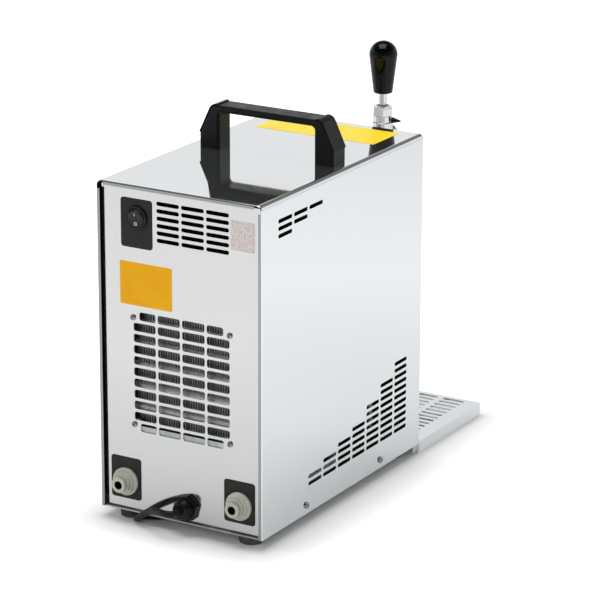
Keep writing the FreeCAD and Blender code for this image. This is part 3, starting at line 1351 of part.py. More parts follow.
def make_beer_lines():
    barb = f"{PANEL} + label_sheet - hose_barrel_long"
    low = "foot_high + hose_height"
    y = f"{MIDDLE} + beer_in_along"
    turn_y = f"{barb} - 2 * hose_barb_long"
    line_in = pipe("beer_line_in", [
        ("-hose_across", barb, low), ("-hose_across", turn_y, low),
        ("-side_channel", turn_y, low), ("-side_channel", y, low),
        ("-side_channel", y, "foot_high + beer_in_high"),
        ("-shell_half", y, "foot_high + beer_in_high"),
    ], "line_radius", "line_wall", "line_bend")
    line_out = pipe("beer_line_out", [
        ("0", f"{FACE} + shank_inside - line_bite", TAP_Z),
        ("0", f"{MIDDLE} - shell_front", TAP_Z),
    ], "line_radius", "line_wall", "line_bend")
    keep("beer_lines", group("beer_lines", line_in, line_out))
    y = f"{FRAME_BACK} - air_channel_in"
    start = "air_pump_in + air_pump_wide * 3 / 4"
    pump_top = f"({BRACKET} + bracket_sheet + air_pump_high)"
    keep("air_line", pipe("air_line", [
        (start, y, pump_top), (start, y, f"{pump_top} + stub_up"),
        ("side_channel", y, f"{pump_top} + stub_up"), ("side_channel", y, low),
        ("hose_across", y, low), ("hose_across", barb, low),
    ], "line_radius", "line_wall", "line_bend"))


def make_copper_lines():
    level = f"{PUMP_TOP} + stub_up"
    ahead = f"{PUMP_Y} + stub_across"
    discharge = pipe("discharge_pipe", [
        ("stub_across", ahead, PUMP_TOP), ("stub_across", ahead, level),
        ("discharge_channel", ahead, level), ("discharge_channel", COIL_Y, level),
        ("discharge_channel", COIL_Y, COIL_TOP), ("coil_reach", COIL_Y, COIL_TOP),
    ], "copper_radius", "copper_wall", "line_bend")
    behind = f"{PUMP_Y} - stub_across"
    suction = pipe("suction_pipe", [
        ("-stub_across", behind, PUMP_TOP), ("-stub_across", behind, level),
        ("-pipe_channel", behind, level),
        ("-pipe_channel", behind, "foot_high + suction_high"),
        ("-shell_half", behind, "foot_high + suction_high"),
    ], "copper_radius", "copper_wall", "line_bend")
    drier_back = f"{MIDDLE} + shelf_back"
    liquid = pipe("liquid_pipe", [
        ("-coil_reach", COIL_Y, COIL_LOW), ("-pipe_channel", COIL_Y, COIL_LOW),
        ("-pipe_channel", drier_back, COIL_LOW),
    ], "copper_radius", "copper_wall", "line_bend")
    straight = "(drier_long - drier_cone)"
    keep("filter_drier", turned("filter_drier", [
        ("0", "0"), ("copper_radius", "0"), ("drier_radius", "drier_cone"),
        ("drier_radius", straight), ("copper_radius", "drier_long"), ("0", "drier_long"),
    ], "-Y", "-pipe_channel", drier_back, COIL_LOW))
    drier_front = f"({drier_back} - drier_long)"
    turn_y = f"{drier_front} - 2 * capillary_bend"
    capillary = pipe("capillary_tube", [
        ("-pipe_channel", drier_front, COIL_LOW), ("-pipe_channel", turn_y, COIL_LOW),
        ("-pipe_channel", turn_y, "foot_high + capillary_high"),
        ("-shell_half", turn_y, "foot_high + capillary_high"),
    ], "capillary_radius", "capillary_wall", "capillary_bend")
    keep("copper_pipes", group("copper_pipes", discharge, suction, liquid, capillary))


# Mains lead inside, and the cord that lies free behind and beside the cabinet

def make_lead():
    """From the gland's nose through the gland and up to the back of the switch."""
    y = f"{PANEL} - lead_in"
    keep("mains_lead", pipe("mains_lead", [
        ("gland_across", NOSE, GLAND_Z), ("gland_across", y, GLAND_Z),
        ("side_channel", y, GLAND_Z), ("side_channel", y, SWITCH_Z),
        ("switch_across", y, SWITCH_Z),
        ("switch_across", f"{SWITCH_Y} - switch_deep", SWITCH_Z),
    ], "cord_radius", "cord_radius / 2", "lead_bend"))


# Route points of the free cord, measured from the middle of the cabinet and the floor:
# out of the gland, round to the side, down to the floor, back under the cabinet and out
# at its side to where the coil begins
CORD_ROUTE = [
    (-4.7, 160.5, 26.2), (-4.7, 168.8, 26.2), (2.8, 173.6, 26.6), (12, 169, 25.5),
    (21, 164.7, 23.2), (31, 159.5, 18.6), (40, 155.8, 12.4), (47.4, 152.6, 6.3),
    (53.2, 147, 3.3), (52.2, 139.4, 3.2), (45.2, 136, 3.2), (37, 132.8, 3.2),
    (31, 124.5, 3.2), (31.8, 111.5, 3.2), (41.5, 99.5, 3.2), (57.5, 92, 3.2),
    (75, 82.5, 3.2), (87, 62, 3.2), (96.2, 22, 3.2), (96.2, -17.6, 3.2),
]
# and those of its tail, from the top of the coil to the plug
TAIL_ROUTE = [
    (99.7, -30.4, 10.2), (99.7, -50, 10.2), (104, -71, 14), (113, -92, 18),
    (113, -110, 18),
]


def cord_points(route):
    return [Vector(x, y + number(MIDDLE), z) for x, y, z in route]


def bend_radius(before, here, after):
    """As large as the two runs allow: 0.45 of the shorter over the half turn's tangent."""
    turn = (here - before).getAngle(after - here)
    return 0.45 * min((here - before).Length, (after - here).Length) / math.tan(turn / 2)


def free_cord(node, route):
    """A plain tube through the points with the largest arcs that they allow."""
    points = cord_points(route)
    edges = []
    start = points[0]
    radii = []
    for before, here, after in zip(points, points[1:], points[2:]):
        bend = bend_radius(before, here, after)
        radii.append(round(bend, 1))
        back = (before - here).normalize()
        ahead = (after - here).normalize()
        half = back.getAngle(ahead) / 2
        reach = bend / math.tan(half)
        centre = here + (back + ahead).normalize() * (bend / math.sin(half))
        middle = centre + (here - centre).normalize() * bend
        edges.append(Part.LineSegment(start, here + back * reach).toShape())
        start = here + ahead * reach
        edges.append(Part.Arc(here + back * reach, middle, start).toShape())
    edges.append(Part.LineSegment(start, points[-1]).toShape())
    wire = Part.Wire(edges)
    radius = number("cord_radius")
    item = doc.addObject("Part::Feature", node)
    item.Shape = swept(wire, radius)
    section = math.pi * radius ** 2
    print(node, "length", round(wire.Length, 1), "volume share",
          round(item.Shape.Volume / (section * wire.Length), 4), "radii", radii)
    keep(node, item)
    return wire.Length


def coil_spot(turn):
    """The coil's centre line: in along the floor, up in half a turn, and out on top."""
    pitch = number("coil_pitch")
    inner = number("coil_outer - coil_turns_in * coil_pitch")
    inward = number("coil_turns_in")
    low = number("cord_radius")
    if turn <= inward:
        radius = number("coil_outer") - pitch * turn
        height = low
    elif turn <= inward + 1 / 2:
        part = turn - inward
        radius = inner - pitch * (part - 2 * part ** 2)
        height = low + number("coil_climb") * (1 - math.cos(2 * math.pi * part)) / 2
    else:
        radius = inner + pitch * (turn - inward - 1 / 2)
        height = low + number("coil_climb")
    angle = math.pi + 2 * math.pi * turn
    across = number("coil_across") + radius * math.cos(angle)
    along = number(f"coil_along + {MIDDLE}") + radius * math.sin(angle)
    return Vector(across, along, height)


def tangent_arc(start, heading, end):
    """The arc that leaves start along heading and reaches end."""
    chord = end - start
    line = Vector(chord).normalize()
    cosine = heading.dot(line)
    outward = heading - line * cosine
    if outward.Length < 1e-9:
        return Part.LineSegment(start, end).toShape()
    sine = outward.Length
    rise = chord.Length / 2 * sine / (1 + cosine)
    middle = start + chord / 2 + outward.normalize() * rise
    return Part.Arc(start, middle, end).toShape()


def biarc(start, leaving, end, arriving):
    """Two arcs from start to end with the given headings."""
    way = end - start
    both = leaving + arriving
    bend = 2 * (1 - leaving.dot(arriving))
    if bend < 1e-9:
        size = way.dot(way) / (4 * way.dot(arriving))
    else:
        slant = way.dot(both)
        size = (math.sqrt(slant ** 2 + bend * way.dot(way)) - slant) / bend
    joint = (start + end + (leaving - arriving) * size) / 2
    first = tangent_arc(start, leaving, joint)
    second = tangent_arc(end, arriving * -1, joint)
    return [first, second]


def coil_heading(turn, turns):
    if turn in (0, turns):
        return Vector(0, -1, 0)
    small = 1e-5
    return (coil_spot(turn + small) - coil_spot(turn - small)).normalize()


def make_coil():
    """One unbroken tube of loops in two layers with a straight end of one diameter."""
    turns = number("coil_turns_in + 1 / 2 + coil_turns_out")
    stations = [quarter / 4 for quarter in range(round(4 * turns) + 1)]
    spots = [coil_spot(turn) for turn in stations]
    headings = [coil_heading(turn, turns) for turn in stations]
    straight = number("2 * cord_radius")
    edges = [Part.LineSegment(spots[0] - headings[0] * straight, spots[0]).toShape()]
    for i in range(len(spots) - 1):
        edges += biarc(spots[i], headings[i], spots[i + 1], headings[i + 1])
    edges.append(Part.LineSegment(spots[-1], spots[-1] + headings[-1] * straight).toShape())
    wire = Part.Wire(Part.__sortEdges__(edges))
    item = doc.addObject("Part::Feature", "cord_coil")
    radius = number("cord_radius")
    item.Shape = swept(wire, radius)
    section = math.pi * radius ** 2
    print("cord_coil length", round(wire.Length, 1), "volume share",
          round(item.Shape.Volume / (section * wire.Length), 4),
          "least gap to itself", round(least_gap(wire), 3))
    print("cord_coil ends", spots[0] - headings[0] * straight,
          spots[-1] + headings[-1] * straight)
    keep("cord_coil", item)
    return wire.Length


def least_gap(wire):
    """The smallest distance between turns of the coil, skin to skin."""
    step = number("cord_radius") / 2
    points = wire.discretize(Distance=step)
    apart = round(6 * number("cord_radius") / step)
    least = min((points[i] - points[j]).Length
                for i in range(len(points)) for j in range(i + apart, len(points)))
    return least - 2 * number("cord_radius")


def make_plug():
    """A moulded plug with earth rim, lying on its rim, and its two pins."""
    end = cord_points(TAIL_ROUTE)[-1]
    straight = "(plug_long - plug_rim)"
    section = [
        ("0", "0"), ("plug_neck", "0"), ("plug_neck", "plug_neck_long"),
        ("plug_waist", "plug_neck_long + plug_rim / 2", "plug_round"),
        ("plug_waist", straight, "plug_round"), ("plug_radius", straight, "plug_round"),
        ("plug_radius", "plug_long", "plug_round"), ("0", "plug_long"),
    ]
    blank = turned("plug_blank", section, "-Y")
    blank.Placement = Placement(end, SWINGS["-Y"])
    holes = []
    pins = []
    for side in (-1, 1):
        across = end.x + side * number("pin_span / 2")
        front = end.y - number("plug_long")
        for made, name, radius, back in ((holes, "pin_hole", "pin_radius + fit_gap", 0),
                                         (pins, "plug_pin", "pin_radius", 0)):
            one = rod(name, radius, "pin_long + pin_bite", towards="-Y")
            one.Placement = Placement(Vector(across, front + number("pin_bite"), end.z),
                                      SWINGS["-Y"])
            made.append(one)
    keep("plug", less("plug", blank, *holes))
    keep("plug_pins", group("plug_pins", *pins))


def make_cord():
    total = free_cord("power_cord", CORD_ROUTE) + make_coil()
    total += free_cord("cord_tail", TAIL_ROUTE)
    print("cord in all", round(total, 1))
    make_plug()


def finish():
    """Check every object and every piece, then write one file for each piece."""
    doc.recompute()
    for item in doc.Objects:
        if "Invalid" in item.State or "Error" in item.State:
            raise RuntimeError(f"{item.Label}: {item.State}")
    for item in nodes:
        shape = item.Shape
        if shape.isNull() or not shape.isValid():
            raise RuntimeError(f"{item.Label}: no valid shape")
    os.makedirs("parts", exist_ok=True)
    for item in nodes:
        item.Shape.exportStep(f"parts/{item.Label}.step")
        print(item.Label, len(item.Shape.Solids), round(item.Shape.Volume, 1))


make_cover()
make_rear_panel()
make_front_panel()
make_base_pan()
make_feet()
make_cover_screws()
make_handle()
make_handle_caps()
make_handle_fasteners()
make_labels()
make_switch()
make_gland()
make_connectors()
make_shank()
make_tap_body()
make_collar()
make_lever()
make_flow_lever()
make_tray()
make_grid()
make_condenser()
make_fan()
make_compressor()
make_shelf()
make_bracket()
make_beer_lines()
make_copper_lines()
make_lead()
make_cord()
finish()
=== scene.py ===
import json
import math

import bmesh
import bpy
from mathutils import Matrix, Vector


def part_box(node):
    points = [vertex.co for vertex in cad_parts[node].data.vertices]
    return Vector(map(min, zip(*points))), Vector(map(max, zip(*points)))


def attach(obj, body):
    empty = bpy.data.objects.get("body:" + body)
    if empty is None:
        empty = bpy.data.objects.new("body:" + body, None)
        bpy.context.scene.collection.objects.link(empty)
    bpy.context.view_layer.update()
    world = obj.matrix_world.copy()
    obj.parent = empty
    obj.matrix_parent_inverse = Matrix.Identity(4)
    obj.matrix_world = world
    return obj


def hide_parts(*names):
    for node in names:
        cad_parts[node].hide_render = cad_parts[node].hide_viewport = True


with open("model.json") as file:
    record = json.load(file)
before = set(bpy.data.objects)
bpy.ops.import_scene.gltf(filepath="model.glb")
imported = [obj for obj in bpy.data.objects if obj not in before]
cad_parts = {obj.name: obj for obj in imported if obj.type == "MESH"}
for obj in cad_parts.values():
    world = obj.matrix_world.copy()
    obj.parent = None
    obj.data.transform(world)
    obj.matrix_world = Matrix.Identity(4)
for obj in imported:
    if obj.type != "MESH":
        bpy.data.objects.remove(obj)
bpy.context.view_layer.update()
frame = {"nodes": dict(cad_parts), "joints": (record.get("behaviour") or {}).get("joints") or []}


# Mains cord: three cores in a round black PVC sheath of 6.4 mm, extruded. It leaves the
# gland, falls to the table, turns back under the cabinet and is put away in a coil beside
# it, out of the photograph's sight, with its moulded plug next to the coil.

def tone(text):
    """An sRGB hex colour as the linear values that a shader takes."""
    parts = [int(text[i:i + 2], 16) / 255 for i in (0, 2, 4)]
    linear = [p / 12.92 if p <= 0.04045 else ((p + 0.055) / 1.055) ** 2.4 for p in parts]
    return (*linear, 1.0)


def add_node(tree, kind, settings=None, links=None):
    """Adds a node; settings are its inputs or attributes, links are what feeds its inputs."""
    node = tree.nodes.new(kind)
    for name, value in (settings or {}).items():
        if isinstance(name, int) or name in node.inputs:
            node.inputs[name].default_value = value
        else:
            setattr(node, name, value)
    for name, source in (links or {}).items():
        tree.links.new(source, node.inputs[name])
    return node


def new_material(name, colour, roughness, metallic=0.0, **extra):
    """A material with its shader; gives the material, its tree, shader and coordinates."""
    material = bpy.data.materials.new(name)
    material.use_nodes = True
    tree = material.node_tree
    shader = tree.nodes["Principled BSDF"]
    shader.inputs["Base Color"].default_value = tone(colour)
    shader.inputs["Roughness"].default_value = roughness
    shader.inputs["Metallic"].default_value = metallic
    for name_of, value in extra.items():
        shader.inputs[name_of.replace("_", " ")].default_value = value
    place = add_node(tree, "ShaderNodeTexCoord")
    return material, tree, shader, place.outputs["Object"]


def grain(tree, shader, coords, size_mm, depth_mm, detail=2.0):
    """Bump of a surface's grain or waves, which have a real size and depth."""
    noise = add_node(tree, "ShaderNodeTexNoise", {"Scale": 1000 / size_mm, "Detail": detail},
                     {"Vector": coords})
    bump = add_node(tree, "ShaderNodeBump", {"Distance": depth_mm / 1000, "Strength": 1.0},
                    {"Height": noise.outputs["Fac"]})
    tree.links.new(bump.outputs["Normal"], shader.inputs["Normal"])


# A noise seldom leaves this range, and two tones meet within the narrower one
NOISE_LOW = 0.3
NOISE_HIGH = 0.7
TONE_LOW = 0.35
TONE_HIGH = 0.65


def mottle(tree, shader, coords, size_mm, low, high):
    """Uneven gloss: roughness drifts between two values over patches of a real size."""
    noise = add_node(tree, "ShaderNodeTexNoise", {"Scale": 1000 / size_mm, "Detail": 4.0},
                     {"Vector": coords})
    spread = add_node(tree, "ShaderNodeMapRange",
                      {"From Min": NOISE_LOW, "From Max": NOISE_HIGH,
                       "To Min": low, "To Max": high},
                      {"Value": noise.outputs["Fac"]})
    tree.links.new(spread.outputs["Result"], shader.inputs["Roughness"])


def tint(tree, shader, coords, size_mm, first, second):
    """Uneven colour: two tones in patches of a real size."""
    noise = add_node(tree, "ShaderNodeTexNoise", {"Scale": 1000 / size_mm, "Detail": 5.0},
                     {"Vector": coords})
    ramp = add_node(tree, "ShaderNodeValToRGB", links={"Fac": noise.outputs["Fac"]})
    ramp.color_ramp.elements[0].position = TONE_LOW
    ramp.color_ramp.elements[0].color = tone(first)
    ramp.color_ramp.elements[1].position = TONE_HIGH
    ramp.color_ramp.elements[1].color = tone(second)
    tree.links.new(ramp.outputs["Color"], shader.inputs["Base Color"])


def dress(node, material):
    """Gives a carried-over piece its material."""
    piece = frame["nodes"][node]
    piece.data.materials.clear()
    piece.data.materials.append(material)


def add_object(name, data):
    """Puts a mesh, curve, lamp or camera into the scene, at the origin."""
    item = bpy.data.objects.new(name, data)
    bpy.context.collection.objects.link(item)
    return item


SAME_POINT = 1e-6
FLAT_ANGLE = math.radians(0.6)
SMOOTH_ANGLE = math.radians(38)
EASED_ANGLE = math.radians(40)


def smoothed(node, body, material, eased_mm):
    """A merged copy of a piece, its turned faces smooth and its sharp edges eased."""
    mesh = frame["nodes"][node].data.copy()
    form = bmesh.new()
    form.from_mesh(mesh)
    bmesh.ops.remove_doubles(form, verts=form.verts, dist=SAME_POINT)
    bmesh.ops.dissolve_limit(form, angle_limit=FLAT_ANGLE, verts=form.verts, edges=form.edges)
    form.to_mesh(mesh)
    form.free()
    mesh.shade_smooth()
    mesh.set_sharp_from_angle(angle=SMOOTH_ANGLE)
    mesh.materials.clear()
    mesh.materials.append(material)
    piece = add_object(node + "_skin", mesh)
    if eased_mm:
        ease = piece.modifiers.new("Eased edges", "BEVEL")
        ease.width = eased_mm / 1000
        ease.segments = 2
        ease.limit_method = "ANGLE"
        ease.angle_limit = EASED_ANGLE
    even = piece.modifiers.new("Even light", "WEIGHTED_NORMAL")
    even.keep_sharp = True
    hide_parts(node)
    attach(piece, body)
    return piece


# PVC sheath: soft black with a faint drawn grain and dull patches from handling
sheath_pvc, tree, shader, coords = new_material("cord_sheath_pvc", "161719", 0.46,
                                                Specular_IOR_Level=0.3)
grain(tree, shader, coords, 0.9, 0.03)
mottle(tree, shader, coords, 25, 0.38, 0.56)
tint(tree, shader, coords, 60, "141517", "1F2022")

cover_low, cover_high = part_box("cover")
middle_y = (cover_low.y + cover_high.y) / 2

# Route points in metres, from the middle of the cabinet and from the table
CORD_ROUTE = [
    (-0.0047, 0.1605, 0.0262), (-0.0047, 0.1688, 0.0262), (0.0028, 0.1736, 0.0266),
    (0.012, 0.169, 0.0255), (0.021, 0.1647, 0.0232), (0.031, 0.1595, 0.0186),
    (0.040, 0.1558, 0.0124), (0.0474, 0.1526, 0.0063), (0.0532, 0.147, 0.0033),
    (0.0522, 0.1394, 0.0032), (0.0452, 0.136, 0.0032), (0.037, 0.1328, 0.0032),
    (0.031, 0.1245, 0.0032), (0.0318, 0.1115, 0.0032), (0.0415, 0.0995, 0.0032),
    (0.0575, 0.092, 0.0032), (0.075, 0.0825, 0.0032), (0.087, 0.062, 0.0032),
    (0.0962, 0.022, 0.0032),
]
TAIL_ROUTE = [
    (0.0997, -0.050, 0.0102), (0.104, -0.071, 0.014), (0.113, -0.092, 0.018),
    (0.113, -0.110, 0.018),
]
CORD_RADIUS = 0.0032
COIL_MIDDLE = (0.141, -0.024)
COIL_OUTER = 0.0448
COIL_STEP = 0.007
COIL_TURNS_IN = 3
COIL_TURNS_UP = 0.5
COIL_TURNS_OUT = 2.5
POINTS_A_TURN = 24


def coil_point(turn):
    """The coil's line: inwards along the table, up in half a turn, outwards on top."""
    inner = COIL_OUTER - COIL_TURNS_IN * COIL_STEP
    if turn <= COIL_TURNS_IN:
        radius = COIL_OUTER - COIL_STEP * turn
        height = CORD_RADIUS
    elif turn <= COIL_TURNS_IN + COIL_TURNS_UP:
        part = turn - COIL_TURNS_IN
        radius = inner - COIL_STEP * (part - part ** 2 / COIL_TURNS_UP)
        height = CORD_RADIUS + COIL_STEP * (1 - math.cos(math.pi * part / COIL_TURNS_UP)) / 2
    else:
        radius = inner + COIL_STEP * (turn - COIL_TURNS_IN - COIL_TURNS_UP)
        height = CORD_RADIUS + COIL_STEP
    angle = math.pi + 2 * math.pi * turn
    return (COIL_MIDDLE[0] + radius * math.cos(angle),
            COIL_MIDDLE[1] + radius * math.sin(angle), height)


coil_count = round((COIL_TURNS_IN + COIL_TURNS_UP + COIL_TURNS_OUT) * POINTS_A_TURN)
cord_points = CORD_ROUTE + [coil_point(i / POINTS_A_TURN) for i in range(coil_count + 1)]
cord_points += TAIL_ROUTE
cord_line = bpy.data.curves.new("power_cord_line", "CURVE")
cord_line.dimensions = "3D"
spline = cord_line.splines.new("NURBS")
spline.points.add(len(cord_points) - 1)
for point, (x, y, z) in zip(spline.points, cord_points):
    point.co = (x, y + middle_y, z, 1)
spline.order_u = 3
spline.use_endpoint_u = True
spline.resolution_u = 6
cord_line.bevel_depth = CORD_RADIUS
cord_line.bevel_resolution = 5
cord_line.use_fill_caps = True
cord_line.materials.append(sheath_pvc)
power_cord = add_object("mains_cord", cord_line)
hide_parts("power_cord", "cord_coil", "cord_tail")
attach(power_cord, "cabinet")

plug_skin = smoothed("plug", "cabinet", sheath_pvc, 0.6)

# Nickel-plated brass: warm grey, fine turning marks
pin_nickel, tree, shader, coords = new_material("nickel_plated_brass", "C9C4B8", 0.25, 1.0)
grain(tree, shader, coords, 0.5, 0.01)
pins = smoothed("plug_pins", "cabinet", pin_nickel, 0.3)
dress("mains_lead", sheath_pvc)


# Cover: one 1 mm sheet of bright-annealed stainless steel, slots punched, then bent over
# the top and both sides with narrow return flanges. Its surface mirrors the room with
# the faint waves of thin sheet and the smears of a wiped kitchen surface.

bright_steel, tree, shader, coords = new_material("bright_annealed_stainless", "ECEFF0",
                                                  0.03, 0.975)
grain(tree, shader, coords, 90, 0.04, 0.0)
mottle(tree, shader, coords, 40, 0.018, 0.05)
# The sheet dishes up half a millimetre towards its rear fold
DISH_WIDE = 0.045
DISH_SLOPE = 0.024
split = add_node(tree, "ShaderNodeSeparateXYZ", links={"Vector": coords})
inward = add_node(tree, "ShaderNodeMath",
                  {"operation": "SUBTRACT", 1: cover_high.y - DISH_WIDE},
                  {0: split.outputs["Y"]})
from_fold = add_node(tree, "ShaderNodeMath", {"operation": "MAXIMUM", 1: 0.0},
                     {0: inward.outputs["Value"]})
square = add_node(tree, "ShaderNodeMath", {"operation": "POWER", 1: 2.0},
                  {0: from_fold.outputs["Value"]})
rise = add_node(tree, "ShaderNodeMath",
                {"operation": "MULTIPLY", 1: DISH_SLOPE / (2 * DISH_WIDE)},
                {0: square.outputs["Value"]})
waved = shader.inputs["Normal"].links[0].from_socket
dish = add_node(tree, "ShaderNodeBump", {"Distance": 1.0, "Strength": 1.0},
                {"Height": rise.outputs["Value"], "Normal": waved})
tree.links.new(dish.outputs["Normal"], shader.inputs["Normal"])
cover = smoothed("cover", "cabinet", bright_steel, 0.0)

# Inner side of the cover: near black, painted shade so that every slot and gap looks dark
inner_painted_shade, tree, shader, coords = new_material("inner_side_painted_shade", "151616", 0.85,
                                                Specular_IOR_Level=0.1)
grain(tree, shader, coords, 1.5, 0.1)
tint(tree, shader, coords, 14, "111212", "1B1C1C")
# Folded rims: the cover's stainless painted darker, a painted shade for the darker tone the rims
# take from their light and the recess beside them
rim_steel_painted_shade, tree, shader, coords = new_material("folded_rim_stainless_painted_shade", "9C9E9F", 0.16, 1.0)
grain(tree, shader, coords, 40, 0.05, 0.0)
mottle(tree, shader, coords, 15, 0.12, 0.22)
cover.data.materials.append(inner_painted_shade)
cover.data.materials.append(rim_steel_painted_shade)
RIM_BAND = 0.0005
FACING_SHARE = 0.9
cover_middle = (cover_low + cover_high) / 2
# Faces turned inwards take the painted shade; rims facing back or front take the darker rim
# tone, which is painted shade too
for face in cover.data.polygons:
    outward = face.center - cover_middle
    ends = min(face.center.y - cover_low.y, cover_high.y - face.center.y)
    if face.normal.dot(outward) < 0:
        face.material_index = 1
    elif abs(face.normal.y) > FACING_SHARE and ends < RIM_BAND:
        face.material_index = 2


# Rear and front panels: the same sheet, folded at top and bottom and set back inside the
# cover's flanges. Handling and cleaning have dulled it a little and left fine lines.

panel_steel, tree, shader, coords = new_material("wiped_stainless_panel", "D6D6D6", 0.1, 0.98)
WIPE_LONG_MM = 40
WIPE_HIGH_MM = 3
GLOSS_LOW = 0.07
GLOSS_HIGH = 0.13
WAVE_MM = 80
WAVE_DEEP = 0.00005
stretch = add_node(tree, "ShaderNodeMapping",
                   {"Scale": (1000 / WIPE_LONG_MM, 1000 / WIPE_LONG_MM, 1000 / WIPE_HIGH_MM)},
                   {"Vector": coords})
lines = add_node(tree, "ShaderNodeTexNoise", {"Scale": 1.0, "Detail": 2.0},
                 {"Vector": stretch.outputs["Vector"]})
gloss = add_node(tree, "ShaderNodeMapRange",
                 {"From Min": NOISE_LOW, "From Max": NOISE_HIGH,
                  "To Min": GLOSS_LOW, "To Max": GLOSS_HIGH},
                 {"Value": lines.outputs["Fac"]})
tree.links.new(gloss.outputs["Result"], shader.inputs["Roughness"])
waves = add_node(tree, "ShaderNodeTexNoise", {"Scale": 1000 / WAVE_MM, "Detail": 0.0},
                 {"Vector": coords})
bump = add_node(tree, "ShaderNodeBump", {"Distance": WAVE_DEEP, "Strength": 1.0},
                {"Height": waves.outputs["Fac"]})
tree.links.new(bump.outputs["Normal"], shader.inputs["Normal"])
smoothed("rear_panel", "cabinet", panel_steel, 0.0)
smoothed("front_panel", "cabinet", panel_steel, 0.0)


# Screws: zinc-plated pan heads with a cross recess. Two hold each side of the cover to
# the base pan, four hold the condenser behind its grille and four hold the fan.

# Bright zinc: a cool grey with half a gloss, cloudy within each head
zinc_plate, tree, shader, coords = new_material("bright_zinc_plating", "9C9EA0", 0.24, 1.0)
grain(tree, shader, coords, 1.2, 0.02)
mottle(tree, shader, coords, 2, 0.18, 0.34)


def finished(form, name):
    """The built form as a mesh with every face outwards."""
    bmesh.ops.recalc_face_normals(form, faces=form.faces)
    mesh = bpy.data.meshes.new(name)
    form.to_mesh(mesh)
    form.free()
    return mesh


def lathe(name, profile, rounds=32):
    """A turned form about +Z from (radius, height) pairs in metres, closed at its ends."""
    form = bmesh.new()
    rings = []
    for radius, height in profile:
        if radius == 0:
            rings.append([form.verts.new((0, 0, height))])
            continue
        rings.append([form.verts.new((radius * math.cos(2 * math.pi * k / rounds),
                                      radius * math.sin(2 * math.pi * k / rounds), height))
                      for k in range(rounds)])
    for low, high in zip(rings, rings[1:]):
        for k in range(rounds):
            corners = [low[k % len(low)], low[(k + 1) % len(low)],
                       high[(k + 1) % len(high)], high[k % len(high)]]
            unique = list(dict.fromkeys(corners))
            if len(unique) > 2:
                form.faces.new(unique)
    return finished(form, name)


RECESS_TIP_SHARE = 0.35
RECESS_ARM_SHARE = 0.28


def cross_recess(name, wide, deep, top):
    """The tapered cross that a driver's tip leaves in a screw's head."""
    form = bmesh.new()
    for turn in (0, math.pi / 2):
        block = bmesh.ops.create_cube(form, size=1)["verts"]
        for corner in block:
            low = corner.co.z < 0
            arm = wide * (RECESS_TIP_SHARE if low else 1.0)
            corner.co = Vector((corner.co.x * arm, corner.co.y * wide * RECESS_ARM_SHARE,
                                top - deep if low else top + deep / 2))
            corner.co.rotate(Matrix.Rotation(turn, 3, "Z"))
    return finished(form, name)


def apply_modifiers(piece):
    """Turns an object with modifiers into one with a plain mesh."""
    bpy.context.view_layer.update()
    seen = piece.evaluated_get(bpy.context.evaluated_depsgraph_get())
    mesh = bpy.data.meshes.new_from_object(seen)
    piece.modifiers.clear()
    piece.data = mesh


POINT_SHARE = 0.6
DOME_STEPS = 6
RECESS_WIDE_SHARE = 1.1
RECESS_DEEP_SHARE = 0.85
SCREW_SMOOTH_ANGLE = math.radians(35)


def pan_screw(name, head, high, shank, long):
    """One screw from its head's radius and height and its shank's radius and length."""
    dome = []
    for step in range(DOME_STEPS):
        angle = step / DOME_STEPS * math.pi / 2
        dome.append((head * math.cos(angle), high / 2 + high / 2 * math.sin(angle)))
    profile = [(0, -long), (shank * POINT_SHARE, -long), (shank, -long + shank), (shank, 0),
               (head, 0), *dome, (0, high)]
    screw = add_object(name, lathe(name, profile))
    cross = cross_recess(name + "_recess", head * RECESS_WIDE_SHARE, high * RECESS_DEEP_SHARE,
                         high)
    recess = add_object(name + "_recess", cross)
    cut = screw.modifiers.new("Recess", "BOOLEAN")
    cut.object = recess
    cut.operation = "DIFFERENCE"
    cut.solver = "EXACT"
    cut.use_self = True
    apply_modifiers(screw)
    bpy.data.objects.remove(recess)
    screw.data.shade_smooth()
    screw.data.set_sharp_from_angle(angle=SCREW_SMOOTH_ANGLE)
    return screw


def node_tree(name, inputs, output):
    """A geometry tree with named inputs, as (name, kind) pairs, and one output."""
    tree = bpy.data.node_groups.new(name, "GeometryNodeTree")
    for label, kind in inputs:
        tree.interface.new_socket(label, in_out="INPUT", socket_type="NodeSocket" + kind)
    tree.interface.new_socket(output, in_out="OUTPUT", socket_type="NodeSocketGeometry")
    return tree, add_node(tree, "NodeGroupInput")


def run_tree(piece, tree, values):
    """Runs a geometry tree on an object with these inputs and keeps the plain mesh."""
    nodes = piece.modifiers.new("Geometry tree", "NODES")
    nodes.node_group = tree
    for item in tree.interface.items_tree:
        if item.in_out == "INPUT" and item.name in values:
            nodes[item.identifier] = values[item.name]
    apply_modifiers(piece)


